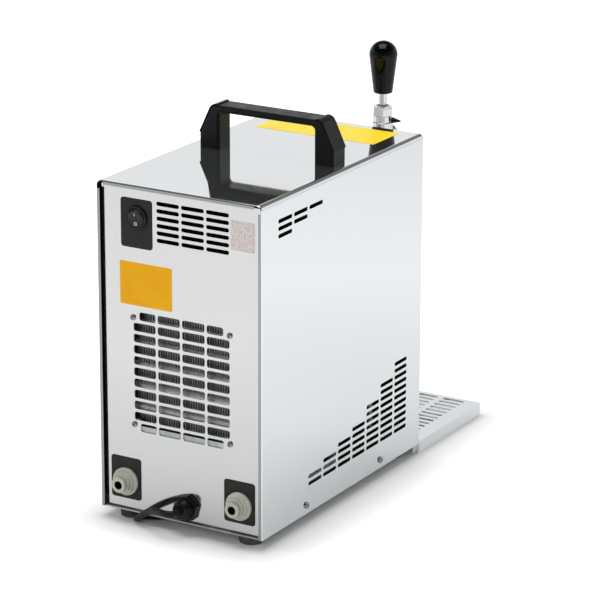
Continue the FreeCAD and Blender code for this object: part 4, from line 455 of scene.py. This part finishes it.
def screw_tree():
    """Puts a copy of one screw on every point, aimed by the point and turned by chance."""
    tree, given = node_tree("Screws in their holes", (
        ("Holes", "Geometry"), ("Screw", "Object"), ("Plating", "Material"), ("Seed", "Int"),
        ("Size", "Float"), ("Widest turn", "Float")), "Screws")
    source = add_node(tree, "GeometryNodeObjectInfo", links={"Object": given.outputs["Screw"]})
    aim = add_node(tree, "GeometryNodeInputNamedAttribute",
                   {"data_type": "FLOAT_VECTOR", "Name": "aim"})
    swing = add_node(tree, "FunctionNodeAlignRotationToVector", {"axis": "Z"},
                     {"Vector": aim.outputs["Attribute"]})
    chance = add_node(tree, "FunctionNodeRandomValue", {"data_type": "FLOAT"},
                      {3: given.outputs["Widest turn"], "Seed": given.outputs["Seed"]})
    spin = add_node(tree, "FunctionNodeAxisAngleToRotation", {"Axis": (0, 0, 1)},
                    {"Angle": chance.outputs[1]})
    turned = add_node(tree, "FunctionNodeRotateRotation", {"rotation_space": "LOCAL"},
                      {"Rotation": swing.outputs["Rotation"],
                       "Rotate By": spin.outputs["Rotation"]})
    copies = add_node(tree, "GeometryNodeInstanceOnPoints", links={
        "Points": given.outputs["Holes"], "Instance": source.outputs["Geometry"],
        "Rotation": turned.outputs["Rotation"], "Scale": given.outputs["Size"]})
    real = add_node(tree, "GeometryNodeRealizeInstances",
                    links={"Geometry": copies.outputs["Instances"]})
    plated = add_node(tree, "GeometryNodeSetMaterial", links={
        "Geometry": real.outputs["Geometry"], "Material": given.outputs["Plating"]})
    add_node(tree, "NodeGroupOutput", links={"Screws": plated.outputs["Geometry"]})
    return tree


screws_in_holes = screw_tree()


def screw_row(name, screw, holes, seed, node):
    """Screws at holes given as (place, direction of the head), standing for a node."""
    mesh = bpy.data.meshes.new(name)
    mesh.from_pydata([place for place, aim in holes], [], [])
    aims = mesh.attributes.new("aim", "FLOAT_VECTOR", "POINT")
    for item, (place, aim) in zip(aims.data, holes):
        item.vector = aim
    row = add_object(name, mesh)
    run_tree(row, screws_in_holes, {"Screw": screw, "Plating": zinc_plate, "Seed": seed,
                                    "Size": 1.0, "Widest turn": math.pi})
    bpy.data.objects.remove(screw)
    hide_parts(node)
    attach(row, "cabinet")


# Each kind's head radius and height and shank radius and length, in metres
COVER_SCREW = (0.0033, 0.0022, 0.002, 0.008)
GRILLE_SCREW = (0.0028, 0.002, 0.0015, 0.005)
FAN_SCREW = (0.0028, 0.002, 0.0015, 0.026)

# Two screws in each side of the cover, a pitch apart and at a height above the table
COVER_SCREW_PITCH = 0.142
COVER_SCREW_HEIGHT = 0.0196
cover_holes = []
for direction in (1, -1):
    for end in (1, -1):
        place = (direction * cover_high.x, middle_y + end * COVER_SCREW_PITCH / 2,
                 COVER_SCREW_HEIGHT)
        cover_holes.append((place, (direction, 0, 0)))
screw_row("cover_screw_set", pan_screw("cover_screw", *COVER_SCREW), cover_holes, 3,
          "cover_screws")

# The grille's and the fan's screws share the square of holes of a 120 mm fan
FAN_HOLE_PITCH = 0.105
panel_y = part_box("rear_panel")[1].y
fan_low, fan_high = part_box("fan_frame")
fan_middle_z = (fan_low.z + fan_high.z) / 2
corners = [(x * FAN_HOLE_PITCH / 2, fan_middle_z + z * FAN_HOLE_PITCH / 2)
           for x in (-1, 1) for z in (-1, 1)]
grille_holes = [((x, panel_y, z), (0, 1, 0)) for x, z in corners]
screw_row("grille_screw_set", pan_screw("grille_screw", *GRILLE_SCREW), grille_holes, 5,
          "condenser_screws")
fan_holes = [((x, fan_low.y, z), (0, -1, 0)) for x, z in corners]
screw_row("fan_screw_set", pan_screw("fan_screw", *FAN_SCREW), fan_holes, 7,
          "condenser_screws")
for node in ("foot_fasteners", "handle_fasteners", "tap_locknut"):
    dress(node, zinc_plate)


# Stickers: plain vinyl foil pressed on by hand, an amber and a pale one on the rear panel
# and a long yellow one on top. Their corners are a little rounded and their skin is smooth
# with a soft sheen.

FOIL_THICK = 0.00015
CORNER_STEPS = 6


def foil(name, colour, second, speckle_mm, middle, size, corner, upright, roughness):
    """A rounded foil on the rear panel, or lying on the top when it isn't upright."""
    vinyl, tree, shader, coords = new_material(name + "_vinyl", colour, roughness,
                                               Specular_IOR_Level=0.25)
    tint(tree, shader, coords, speckle_mm, colour, second)
    grain(tree, shader, coords, 30, 0.015, 0.0)
    mottle(tree, shader, coords, 12, roughness - 0.06, roughness + 0.08)
    form = bmesh.new()
    outline = []
    for cx, cy, start in ((1, 1, 0), (-1, 1, 1), (-1, -1, 2), (1, -1, 3)):
        for k in range(CORNER_STEPS + 1):
            angle = (start + k / CORNER_STEPS) * math.pi / 2
            outline.append((middle[0] + cx * (size[0] / 2 - corner) + corner * math.cos(angle),
                            middle[1] + cy * (size[1] / 2 - corner) + corner * math.sin(angle)))
    layers = []
    for lift in (0, FOIL_THICK):
        if upright:
            layer = [form.verts.new((a, panel_y + lift, b)) for a, b in outline]
        else:
            layer = [form.verts.new((a, b, cover_high.z + lift)) for a, b in outline]
        layers.append(layer)
    form.faces.new(layers[0])
    form.faces.new(layers[1])
    count = len(outline)
    for k in range(count):
        form.faces.new((layers[0][k], layers[0][(k + 1) % count],
                        layers[1][(k + 1) % count], layers[1][k]))
    mesh = finished(form, name)
    mesh.materials.append(vinyl)
    piece = add_object(name, mesh)
    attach(piece, "cabinet")


# Middles and sizes in metres, across and up on the panel, across and back on the top
foil("amber_sticker", "FFBC00", "FCB200", 20, (0.038, 0.2358), (0.057, 0.0415), 0.0012,
     True, 0.42)
foil("pale_sticker", "F2ECEA", "D6C6C2", 2.2, (-0.0667, 0.2988), (0.0253, 0.0279), 0.0012,
     True, 0.35)
foil("top_sticker", "FFDE24", "FFD808", 30, (-0.001, -0.054), (0.133, 0.0505), 0.0015,
     False, 0.35)


# Label plates: black anodised sheet, half a millimetre thick, glued on behind the switch
# and the two hose connectors. Blasted before anodising, so it is dull and even.

black_anodised, tree, shader, coords = new_material("black_anodised_plate", "2A2C28", 0.55,
                                                    Specular_IOR_Level=0.2)
grain(tree, shader, coords, 0.8, 0.02)
mottle(tree, shader, coords, 9, 0.42, 0.6)
for node in ("switch_plate", "hose_plates"):
    smoothed(node, "cabinet", black_anodised, 0.12)


# Switch: a round rocker in a snap-in bezel, both moulded in black polyamide, the bezel
# glossier than the rocker. The marks I and O are pad printed in white on its two halves.

bezel_nylon, tree, shader, coords = new_material("switch_bezel_polyamide", "0C0D0E", 0.3,
                                                 Specular_IOR_Level=0.3)
grain(tree, shader, coords, 0.7, 0.015)
smoothed("switch_body", "cabinet", bezel_nylon, 0.25)
rocker_nylon, tree, shader, coords = new_material("switch_rocker_polyamide", "232524", 0.4,
                                                  Specular_IOR_Level=0.3)
grain(tree, shader, coords, 0.5, 0.02)
mottle(tree, shader, coords, 4, 0.36, 0.5)
smoothed("switch_rocker", "switch_rocker", rocker_nylon, 0.25)

# Printing ink: a flat white, thin enough to follow the moulding
mark_white, tree, shader, coords = new_material("pad_print_white", "D9DBD8", 0.5)
grain(tree, shader, coords, 0.4, 0.01)
ROCKER_RADIUS = 0.0093
ROCKER_DIP = 0.0032
ROCKER_RISE = 0.002
INK_THICK = 0.00004
rocker_joint = next(j for j in frame["joints"] if j["name"] == "switch_rock")
pivot = Vector(rocker_joint["pos_m"])


def on_rocker(across, up, lift):
    """A point on the rocker's shallow V face, in place."""
    out = ROCKER_DIP + ROCKER_RISE * abs(up) / ROCKER_RADIUS + lift
    local = Vector((across, out, up))
    local.rotate(Matrix.Rotation(-math.atan(ROCKER_RISE / ROCKER_RADIUS), 3, "X"))
    return pivot + local


def printed(name, loops):
    """A thin mark between an outer and an inner loop, or inside one loop."""
    form = bmesh.new()
    low = [[form.verts.new(on_rocker(a, b, 0)) for a, b in loop] for loop in loops]
    high = [[form.verts.new(on_rocker(a, b, INK_THICK)) for a, b in loop] for loop in loops]
    count = len(loops[0])
    for level in (low, high):
        if len(loops) == 1:
            form.faces.new(level[0])
        else:
            for k in range(count):
                n = (k + 1) % count
                form.faces.new((level[0][k], level[0][n], level[1][n], level[1][k]))
    for under, over in zip(low, high):
        for k in range(count):
            n = (k + 1) % count
            form.faces.new((under[k], under[n], over[n], over[k]))
    mesh = finished(form, name)
    mesh.materials.append(mark_white)
    piece = add_object(name, mesh)
    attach(piece, "switch_rocker")


BAR_HALF_WIDE = 0.0004
BAR_LOW = 0.0032
BAR_HIGH = 0.0062
RING_MIDDLE = -0.0046
RING_RADII = (0.0017, 0.0010)
RING_POINTS = 24
printed("mark_on", [[(-BAR_HALF_WIDE, BAR_LOW), (BAR_HALF_WIDE, BAR_LOW),
                     (BAR_HALF_WIDE, BAR_HIGH), (-BAR_HALF_WIDE, BAR_HIGH)]])
ring_angles = [2 * math.pi * k / RING_POINTS for k in range(RING_POINTS)]
printed("mark_off", [[(radius * math.cos(angle), RING_MIDDLE + radius * math.sin(angle))
                      for angle in ring_angles] for radius in RING_RADII])


# Cable gland: hexagon body and dome nut in glass-filled polyamide, moulded, screwed
# through the rear panel with a locknut inside; the dome grips the cord. Black, with the
# uneven sheen of the glass fibres.

gland_nylon, tree, shader, coords = new_material("gland_polyamide", "101214", 0.34,
                                                 Specular_IOR_Level=0.25)
grain(tree, shader, coords, 0.6, 0.03)
mottle(tree, shader, coords, 6, 0.3, 0.46)
smoothed("gland_body", "cabinet", gland_nylon, 0.5)
smoothed("gland_dome", "cabinet", gland_nylon, 0.3)
smoothed("gland_locknut", "cabinet", gland_nylon, 0.3)


# Hose connectors: turned and moulded in grey acetal, a body with stepped rings held by a
# nut inside and a collet that grips the hose and lets go when pressed in.

# Acetal: a waxy pale grey, a little lighter and darker in patches
grey_acetal, tree, shader, coords = new_material("grey_acetal", "C2C0B4", 0.3)
grain(tree, shader, coords, 0.5, 0.015)
mottle(tree, shader, coords, 5, 0.25, 0.4)
tint(tree, shader, coords, 14, "B9B7AA", "CBC9BF")
# Nitrile rubber of the seal, matt black, also laid over the rest of each bore as painted shade
# so the hose's way in looks dark
seal_rubber_and_painted_shade, tree, shader, coords = new_material("seal_rubber_and_painted_shade", "0A0B0B", 0.6,
                                                 Specular_IOR_Level=0.2)
grain(tree, shader, coords, 0.8, 0.03)
SEAL_RADIUS = 0.0047


def lined(piece):
    """Blackens the hose's way in, where grip ring and seal sit: the seal's own black, and
    painted shade over the rest of the bore.
    """
    piece.data.materials.append(seal_rubber_and_painted_shade)
    corners = [corner.co for corner in piece.data.vertices]
    across = (min(c.x for c in corners) + max(c.x for c in corners)) / 2
    height = (min(c.z for c in corners) + max(c.z for c in corners)) / 2
    for face in piece.data.polygons:
        radii = [math.hypot(corners[i].x - across, corners[i].z - height)
                 for i in face.vertices]
        if max(radii) < SEAL_RADIUS:
            face.material_index = 1


for port in ("air", "inlet"):
    lined(smoothed(port + "_fitting", "cabinet", grey_acetal, 0.3))
    lined(smoothed(port + "_collet", port + "_collet", grey_acetal, 0.25))
smoothed("hose_nuts", "cabinet", grey_acetal, 0.3)


# Feet: four moulded rubber buffers, screwed to the base pan from below, and the rubber
# mounts under the compressor. Grey with dust in the moulding's grain.

foot_rubber, tree, shader, coords = new_material("foot_rubber", "4A4C4D", 0.82,
                                             Specular_IOR_Level=0.2)
grain(tree, shader, coords, 1.0, 0.08)
tint(tree, shader, coords, 9, "3E4041", "565859")
smoothed("feet", "cabinet", foot_rubber, 0.4)
smoothed("compressor_mounts", "cabinet", foot_rubber, 0.5)


# Handle: a bridge moulded in glass-filled polyamide, bolted down through both legs, with
# a snap-on cap over each shoulder. The mould's eroded grain gives it a satin black.

handle_nylon, tree, shader, coords = new_material("handle_polyamide", "0E1011", 0.34,
                                                  Specular_IOR_Level=0.2)
grain(tree, shader, coords, 0.7, 0.025)
mottle(tree, shader, coords, 10, 0.29, 0.42)
smoothed("handle", "cabinet", handle_nylon, 0.35)
smoothed("handle_end_caps", "cabinet", handle_nylon, 0.35)


# Tap: chromed brass castings and turned parts, polished. The lever's ball sits under a
# collar, and the black phenolic knob is moulded, threaded on the lever and buffed.

# Chrome: a bright mirror with patches softened by fingers and cleaning
chrome, tree, shader, coords = new_material("chromed_brass", "E2E3E4", 0.07, 1.0)
grain(tree, shader, coords, 9, 0.02, 1.0)
mottle(tree, shader, coords, 7, 0.05, 0.13)
for node in ("tap_shank", "tap_rosette", "tap_coupling_nut", "tap_body", "tap_collar"):
    smoothed(node, "cabinet", chrome, 0.3)
smoothed("tap_lever", "tap_lever", chrome, 0.3)
smoothed("flow_lever", "flow_lever", chrome, 0.3)

# Phenolic: a deep black with small, sharp highlights
phenolic, tree, shader, coords = new_material("black_phenolic", "040505", 0.08,
                                              Specular_IOR_Level=0.22)
grain(tree, shader, coords, 25, 0.01, 0.0)
mottle(tree, shader, coords, 12, 0.06, 0.11)
smoothed("tap_handle", "tap_lever", phenolic, 0.3)
smoothed("flow_lever_tip", "flow_lever", phenolic, 0.2)


# Drip tray and grid: bright stainless sheet, pressed, the grid punched with rows of slots
# and laid over the tray's rim.

for node in ("drip_tray", "drip_grid"):
    smoothed(node, node, bright_steel, 0.0)


# Condenser: thin aluminium fins, close together, on one aluminium tube that runs to and
# fro before them, in a frame of galvanised sheet behind the grille.

# Mill-finish aluminium: pale and half dull, with faint lighter and darker patches
fin_aluminium, tree, shader, coords = new_material("mill_finish_aluminium", "BCC0BE",
                                                   0.45, 1.0)
mottle(tree, shader, coords, 8, 0.38, 0.55)
tint(tree, shader, coords, 12, "B0B4B2", "CACECC")
# Drawn aluminium: brighter than the fins, a little uneven from drawing
tube_aluminium, tree, shader, coords = new_material("drawn_aluminium_tube", "D9DCD6",
                                                    0.3, 1.0)
grain(tree, shader, coords, 2, 0.02)
mottle(tree, shader, coords, 6, 0.24, 0.38)

# Real fins are thinner and closer; these are drawn as coarse as they need to be to show
fins_low, fins_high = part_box("condenser_fins")
FIN_PITCH = 0.0027
FIN_SHEET = 0.0006


def fin_tree():
    """Thin upright sheets in a row along X."""
    tree, given = node_tree("Fins in a row", (
        ("Count", "Int"), ("Pitch", "Float"), ("Sheet", "Float"), ("Deep", "Float"),
        ("High", "Float"), ("First", "Vector"), ("Aluminium", "Material")), "Fins")
    step = add_node(tree, "ShaderNodeCombineXYZ", links={"X": given.outputs["Pitch"]})
    size = add_node(tree, "ShaderNodeCombineXYZ", links={
        "X": given.outputs["Sheet"], "Y": given.outputs["Deep"], "Z": given.outputs["High"]})
    row = add_node(tree, "GeometryNodeMeshLine", {"mode": "OFFSET"}, {
        "Count": given.outputs["Count"], "Start Location": given.outputs["First"],
        "Offset": step.outputs["Vector"]})
    fin = add_node(tree, "GeometryNodeMeshCube", links={"Size": size.outputs["Vector"]})
    copies = add_node(tree, "GeometryNodeInstanceOnPoints", links={
        "Points": row.outputs["Mesh"], "Instance": fin.outputs["Mesh"]})
    real = add_node(tree, "GeometryNodeRealizeInstances",
                    links={"Geometry": copies.outputs["Instances"]})
    made = add_node(tree, "GeometryNodeSetMaterial", links={
        "Geometry": real.outputs["Geometry"], "Material": given.outputs["Aluminium"]})
    add_node(tree, "NodeGroupOutput", links={"Fins": made.outputs["Geometry"]})
    return tree


fin_count = int((fins_high.x - fins_low.x - FIN_SHEET) / FIN_PITCH) + 1
fins_middle = (fins_low + fins_high) / 2
fin_stack = add_object("fin_stack", bpy.data.meshes.new("fin_stack"))
run_tree(fin_stack, fin_tree(), {
    "Count": fin_count, "Pitch": FIN_PITCH, "Sheet": FIN_SHEET,
    "Deep": fins_high.y - fins_low.y, "High": fins_high.z - fins_low.z,
    "First": (-(fin_count - 1) / 2 * FIN_PITCH, fins_middle.y, fins_middle.z),
    "Aluminium": fin_aluminium})
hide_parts("condenser_fins")
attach(fin_stack, "cabinet")
dress("cooling_block", fin_aluminium)
smoothed("condenser_tube", "cabinet", tube_aluminium, 0.0)

# Copper: warm red-brown, darker where heat and hands have reached it
copper, tree, shader, coords = new_material("drawn_copper_tube", "B87352", 0.3, 1.0)
mottle(tree, shader, coords, 10, 0.22, 0.45)
tint(tree, shader, coords, 20, "9C5C40", "C98662")
for node in ("copper_pipes", "filter_drier"):
    dress(node, copper)

# Hot-dip zinc on sheet: light grey crystals, each a shade of its own
SPANGLE_MM = 7
galvanised, tree, shader, coords = new_material("galvanised_sheet", "B4B8BA", 0.42, 1.0)
spangle = add_node(tree, "ShaderNodeTexVoronoi", {"Scale": 1000 / SPANGLE_MM, "Randomness": 1.0},
                   {"Vector": coords})
ramp = add_node(tree, "ShaderNodeValToRGB", links={"Fac": spangle.outputs["Color"]})
ramp.color_ramp.elements[0].color = tone("A3A8AB")
ramp.color_ramp.elements[1].color = tone("C6CACC")
tree.links.new(ramp.outputs["Color"], shader.inputs["Base Color"])
for node in ("base_pan", "condenser_frame", "shelf", "shelf_posts", "bracket"):
    dress(node, galvanised)


# Inside: the fan and small boxes are black polyamide mouldings, the compressor a pressed
# steel can in gloss enamel, the cooling block's box black foam, the hoses polyethylene.

# Moulded polyamide: black with a low satin sheen
fan_nylon, tree, shader, coords = new_material("fan_polyamide", "17191B", 0.45)
grain(tree, shader, coords, 0.8, 0.03)
for node in ("fan_frame", "fan_rotor", "terminal_cover", "thermostat_box", "air_pump"):
    dress(node, fan_nylon)
# Sprayed enamel: black and glossy, with the slight ripple of paint
enamel, tree, shader, coords = new_material("compressor_enamel", "101214", 0.22)
grain(tree, shader, coords, 1.5, 0.03)
dress("compressor", enamel)
# Closed-cell foam: dull black with an uneven skin
foam, tree, shader, coords = new_material("black_elastomer_foam", "1C1D1E", 0.9,
                                          Specular_IOR_Level=0.1)
grain(tree, shader, coords, 1.0, 0.2)
tint(tree, shader, coords, 18, "181919", "222425")
dress("insulation_box", foam)
# Polyethylene: milky and half clear
hose_pe, tree, shader, coords = new_material("polyethylene_hose", "C9D0D2", 0.3,
                                             Transmission_Weight=0.35)
grain(tree, shader, coords, 2.0, 0.02)
for node in ("beer_lines", "air_line"):
    dress(node, hose_pe)


# Studio: a sheet of pale paper, a pale room and four soft lamps. The camera sees the paper
# white, with a painted shadow darkening it around the cooler besides its real shadow, and
# polished metal sees it duller, with the same painted shadow near the cooler.

FLOOR_HALF = 30
floor_mesh = bpy.data.meshes.new("floor")
floor_mesh.from_pydata([(-FLOOR_HALF, -FLOOR_HALF, 0), (FLOOR_HALF, -FLOOR_HALF, 0),
                        (FLOOR_HALF, FLOOR_HALF, 0), (-FLOOR_HALF, FLOOR_HALF, 0)],
                       [], [(0, 1, 2, 3)])
floor = add_object("floor", floor_mesh)
paper = bpy.data.materials.new("studio_paper")
paper.use_nodes = True
tree = paper.node_tree
tree.nodes.clear()
place = add_node(tree, "ShaderNodeTexCoord").outputs["Object"]


def clear_of(tree, place, node):
    """Distance on the floor from the rectangle that a piece covers."""
    low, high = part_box(node)
    middle = ((low.x + high.x) / 2, (low.y + high.y) / 2, 0)
    half_size = ((high.x - low.x) / 2, (high.y - low.y) / 2, 1)
    shifted = add_node(tree, "ShaderNodeVectorMath", {"operation": "SUBTRACT", 1: middle},
                       {0: place})
    folded = add_node(tree, "ShaderNodeVectorMath", {"operation": "ABSOLUTE"},
                      {0: shifted.outputs["Vector"]})
    beyond = add_node(tree, "ShaderNodeVectorMath", {"operation": "SUBTRACT", 1: half_size},
                      {0: folded.outputs["Vector"]})
    kept = add_node(tree, "ShaderNodeVectorMath", {"operation": "MAXIMUM", 1: (0, 0, 0)},
                    {0: beyond.outputs["Vector"]})
    return add_node(tree, "ShaderNodeVectorMath", {"operation": "LENGTH"},
                    {0: kept.outputs["Vector"]}).outputs["Value"]


nearest = add_node(tree, "ShaderNodeMath", {"operation": "MINIMUM"}, {
    0: clear_of(tree, place, "cover"), 1: clear_of(tree, place, "drip_tray")})
# The paper glows more the further it lies from the cooler and its tray as they stand at rest,
# which paints a shadow around their footprints beside the real one. Each of the camera's glows
# is a share of the reach, in metres, with a strength; metal sees a weaker glow, least near the
# footprints.
GLOW_REACH = 0.5
GLOWS_WITH_PAINTED_SHADOW = ((0.0, 0.02), (0.02, 0.19), (0.04, 0.25), (0.1, 0.47), (0.4, 0.55), (1.0, 0.8))
GLOSS_GLOW_IN_PAINTED_SHADOW = 0.02
GLOSS_GLOW_FAR = 0.25
CLEAR_GLOW = 0.2
PAPER_GREY = (0.82, 0.82, 0.82, 1)
spread = add_node(tree, "ShaderNodeMath", {"operation": "MULTIPLY", 1: 1 / GLOW_REACH},
                  {0: nearest.outputs["Value"]})
paper_glow_with_painted_shadow = add_node(tree, "ShaderNodeValToRGB", links={"Fac": spread.outputs["Value"]})
for count, (spot, strength) in enumerate(GLOWS_WITH_PAINTED_SHADOW):
    if count < len(paper_glow_with_painted_shadow.color_ramp.elements):
        step = paper_glow_with_painted_shadow.color_ramp.elements[count]
        step.position = spot
    else:
        step = paper_glow_with_painted_shadow.color_ramp.elements.new(spot)
    step.color = (strength, strength, strength, 1)
gloss_glow_with_painted_shadow = add_node(tree, "ShaderNodeMapRange",
                      {"From Min": 0.0, "From Max": GLOW_REACH,
                       "To Min": GLOSS_GLOW_IN_PAINTED_SHADOW, "To Max": GLOSS_GLOW_FAR},
                      {"Value": nearest.outputs["Value"]})
ray = add_node(tree, "ShaderNodeLightPath")
seen = add_node(tree, "ShaderNodeMath", {"operation": "MULTIPLY"},
                {0: ray.outputs["Is Camera Ray"], 1: paper_glow_with_painted_shadow.outputs["Color"]})
mirrored = add_node(tree, "ShaderNodeMath", {"operation": "MULTIPLY_ADD"},
                    {0: ray.outputs["Is Glossy Ray"], 1: gloss_glow_with_painted_shadow.outputs["Result"],
                     2: seen.outputs["Value"]})
through = add_node(tree, "ShaderNodeMath", {"operation": "MULTIPLY_ADD", 1: CLEAR_GLOW},
                   {0: ray.outputs["Is Transmission Ray"], 2: mirrored.outputs["Value"]})
glow = add_node(tree, "ShaderNodeEmission", {"Color": (1, 1, 1, 1)},
                {"Strength": through.outputs["Value"]})
matt = add_node(tree, "ShaderNodeBsdfDiffuse", {"Color": PAPER_GREY})
both = add_node(tree, "ShaderNodeAddShader", links={0: matt.outputs["BSDF"],
                                                    1: glow.outputs["Emission"]})
add_node(tree, "ShaderNodeOutputMaterial", links={"Surface": both.outputs["Shader"]})
floor_mesh.materials.append(paper)

# The room: pale walls under a grey ceiling, brightest behind the cooler, dim behind the
# camera, and plain white where the camera itself looks
BEHIND_COOLER = (0.51, -0.86, 0)
WALL_TOP = 0.25
WALL_WHITE = (0.89, 0.89, 0.90, 1)
CEILING_GREY = (0.42, 0.43, 0.44, 1)
ROOM_DIM = 0.24
ROOM_BRIGHT = 0.97
world = bpy.data.worlds.new("studio_room")
bpy.context.scene.world = world
world.use_nodes = True
tree = world.node_tree
tree.nodes.clear()
ray = add_node(tree, "ShaderNodeLightPath")
way = add_node(tree, "ShaderNodeTexCoord")
split = add_node(tree, "ShaderNodeSeparateXYZ", links={"Vector": way.outputs["Generated"]})
sky = add_node(tree, "ShaderNodeValToRGB", links={"Fac": split.outputs["Z"]})
sky.color_ramp.elements[0].position = WALL_TOP
sky.color_ramp.elements[0].color = WALL_WHITE
sky.color_ramp.elements[1].color = CEILING_GREY
toward = add_node(tree, "ShaderNodeVectorMath", {"operation": "DOT_PRODUCT", 1: BEHIND_COOLER},
                  {0: way.outputs["Generated"]})
backdrop = add_node(tree, "ShaderNodeMapRange",
                    {"From Min": -0.8, "From Max": 0.4, "To Min": ROOM_DIM,
                     "To Max": ROOM_BRIGHT},
                    {"Value": toward.outputs["Value"]})
# In gloss the paper sweep ends a third of the way up and a dim ceiling follows
SWEEP_END = 0.35
CEILING_START = 0.45
CEILING_LOSS = 0.76
ceiling = add_node(tree, "ShaderNodeMapRange",
                   {"From Min": SWEEP_END, "From Max": CEILING_START,
                    "To Min": 0.0, "To Max": CEILING_LOSS},
                   {"Value": split.outputs["Z"]})
in_gloss = add_node(tree, "ShaderNodeMath", {"operation": "MULTIPLY"},
                    {0: ceiling.outputs["Result"], 1: ray.outputs["Is Glossy Ray"]})
left_over = add_node(tree, "ShaderNodeMath", {"operation": "SUBTRACT", 0: 1.0},
                     {1: in_gloss.outputs["Value"]})
strength = add_node(tree, "ShaderNodeMath", {"operation": "MULTIPLY"},
                    {0: backdrop.outputs["Result"], 1: left_over.outputs["Value"]})
room = add_node(tree, "ShaderNodeBackground", links={"Color": sky.outputs["Color"],
                                                     "Strength": strength.outputs["Value"]})
white = add_node(tree, "ShaderNodeBackground", {"Color": (1, 1, 1, 1), "Strength": 1.0})
choose = add_node(tree, "ShaderNodeMixShader", links={
    "Fac": ray.outputs["Is Camera Ray"], 1: room.outputs["Background"],
    2: white.outputs["Background"]})
add_node(tree, "ShaderNodeOutputWorld", links={"Surface": choose.outputs["Shader"]})


def lamp(name, place, aim, wide, power, mirrored):
    """A soft square lamp; only a mirrored one shows in gloss."""
    light = bpy.data.lights.new(name, "AREA")
    light.shape = "SQUARE"
    light.size = wide
    light.energy = power
    item = add_object(name, light)
    item.location = place
    item.rotation_mode = "QUATERNION"
    item.rotation_quaternion = (Vector(aim) - Vector(place)).to_track_quat("-Z", "Y")
    item.visible_glossy = mirrored


# Places, aims and widths in metres, powers in watts
lamp("overhead", (0.1, 0.1, 2.2), (0, 0.05, 0), 1.5, 26, True)
lamp("left_side", (1.9, 1.6, 1.3), (0, 0.1, 0.15), 1.2, 8, False)
lamp("camera_side", (-0.9, 2.3, 1.4), (0, 0.2, 0.2), 1.0, 11, False)
lamp("right_side", (-2.4, -0.4, 1.5), (0, 0, 0.15), 1.4, 6, False)

# Camera: the photograph's own, fitted to the cabinet's edges
CAMERA_PLACE = (-1.4435, 2.4363, 1.0720)
CAMERA_TURN = math.radians(210.589)
CAMERA_RISE = math.radians(17.636)
CAMERA_ROLL = math.radians(0.182)
CAMERA_LENS_MM = 182.74
CAMERA_SENSOR_MM = 36
camera = bpy.data.cameras.new("camera")
camera.sensor_width = CAMERA_SENSOR_MM
camera.lens = CAMERA_LENS_MM
camera.clip_end = 100
view = add_object("camera", camera)
back = Vector((math.sin(CAMERA_TURN) * math.cos(CAMERA_RISE),
               -math.cos(CAMERA_TURN) * math.cos(CAMERA_RISE), math.sin(CAMERA_RISE)))
right = (-back).cross(Vector((0, 0, 1))).normalized()
up = right.cross(-back)
turned_right = math.cos(CAMERA_ROLL) * right + math.sin(CAMERA_ROLL) * up
turned_up = -math.sin(CAMERA_ROLL) * right + math.cos(CAMERA_ROLL) * up
basis = Matrix((turned_right, turned_up, back)).transposed()
view.matrix_world = Matrix.Translation(CAMERA_PLACE) @ basis.to_4x4()
bpy.context.scene.camera = view
bpy.context.scene.view_settings.view_transform = "Standard"
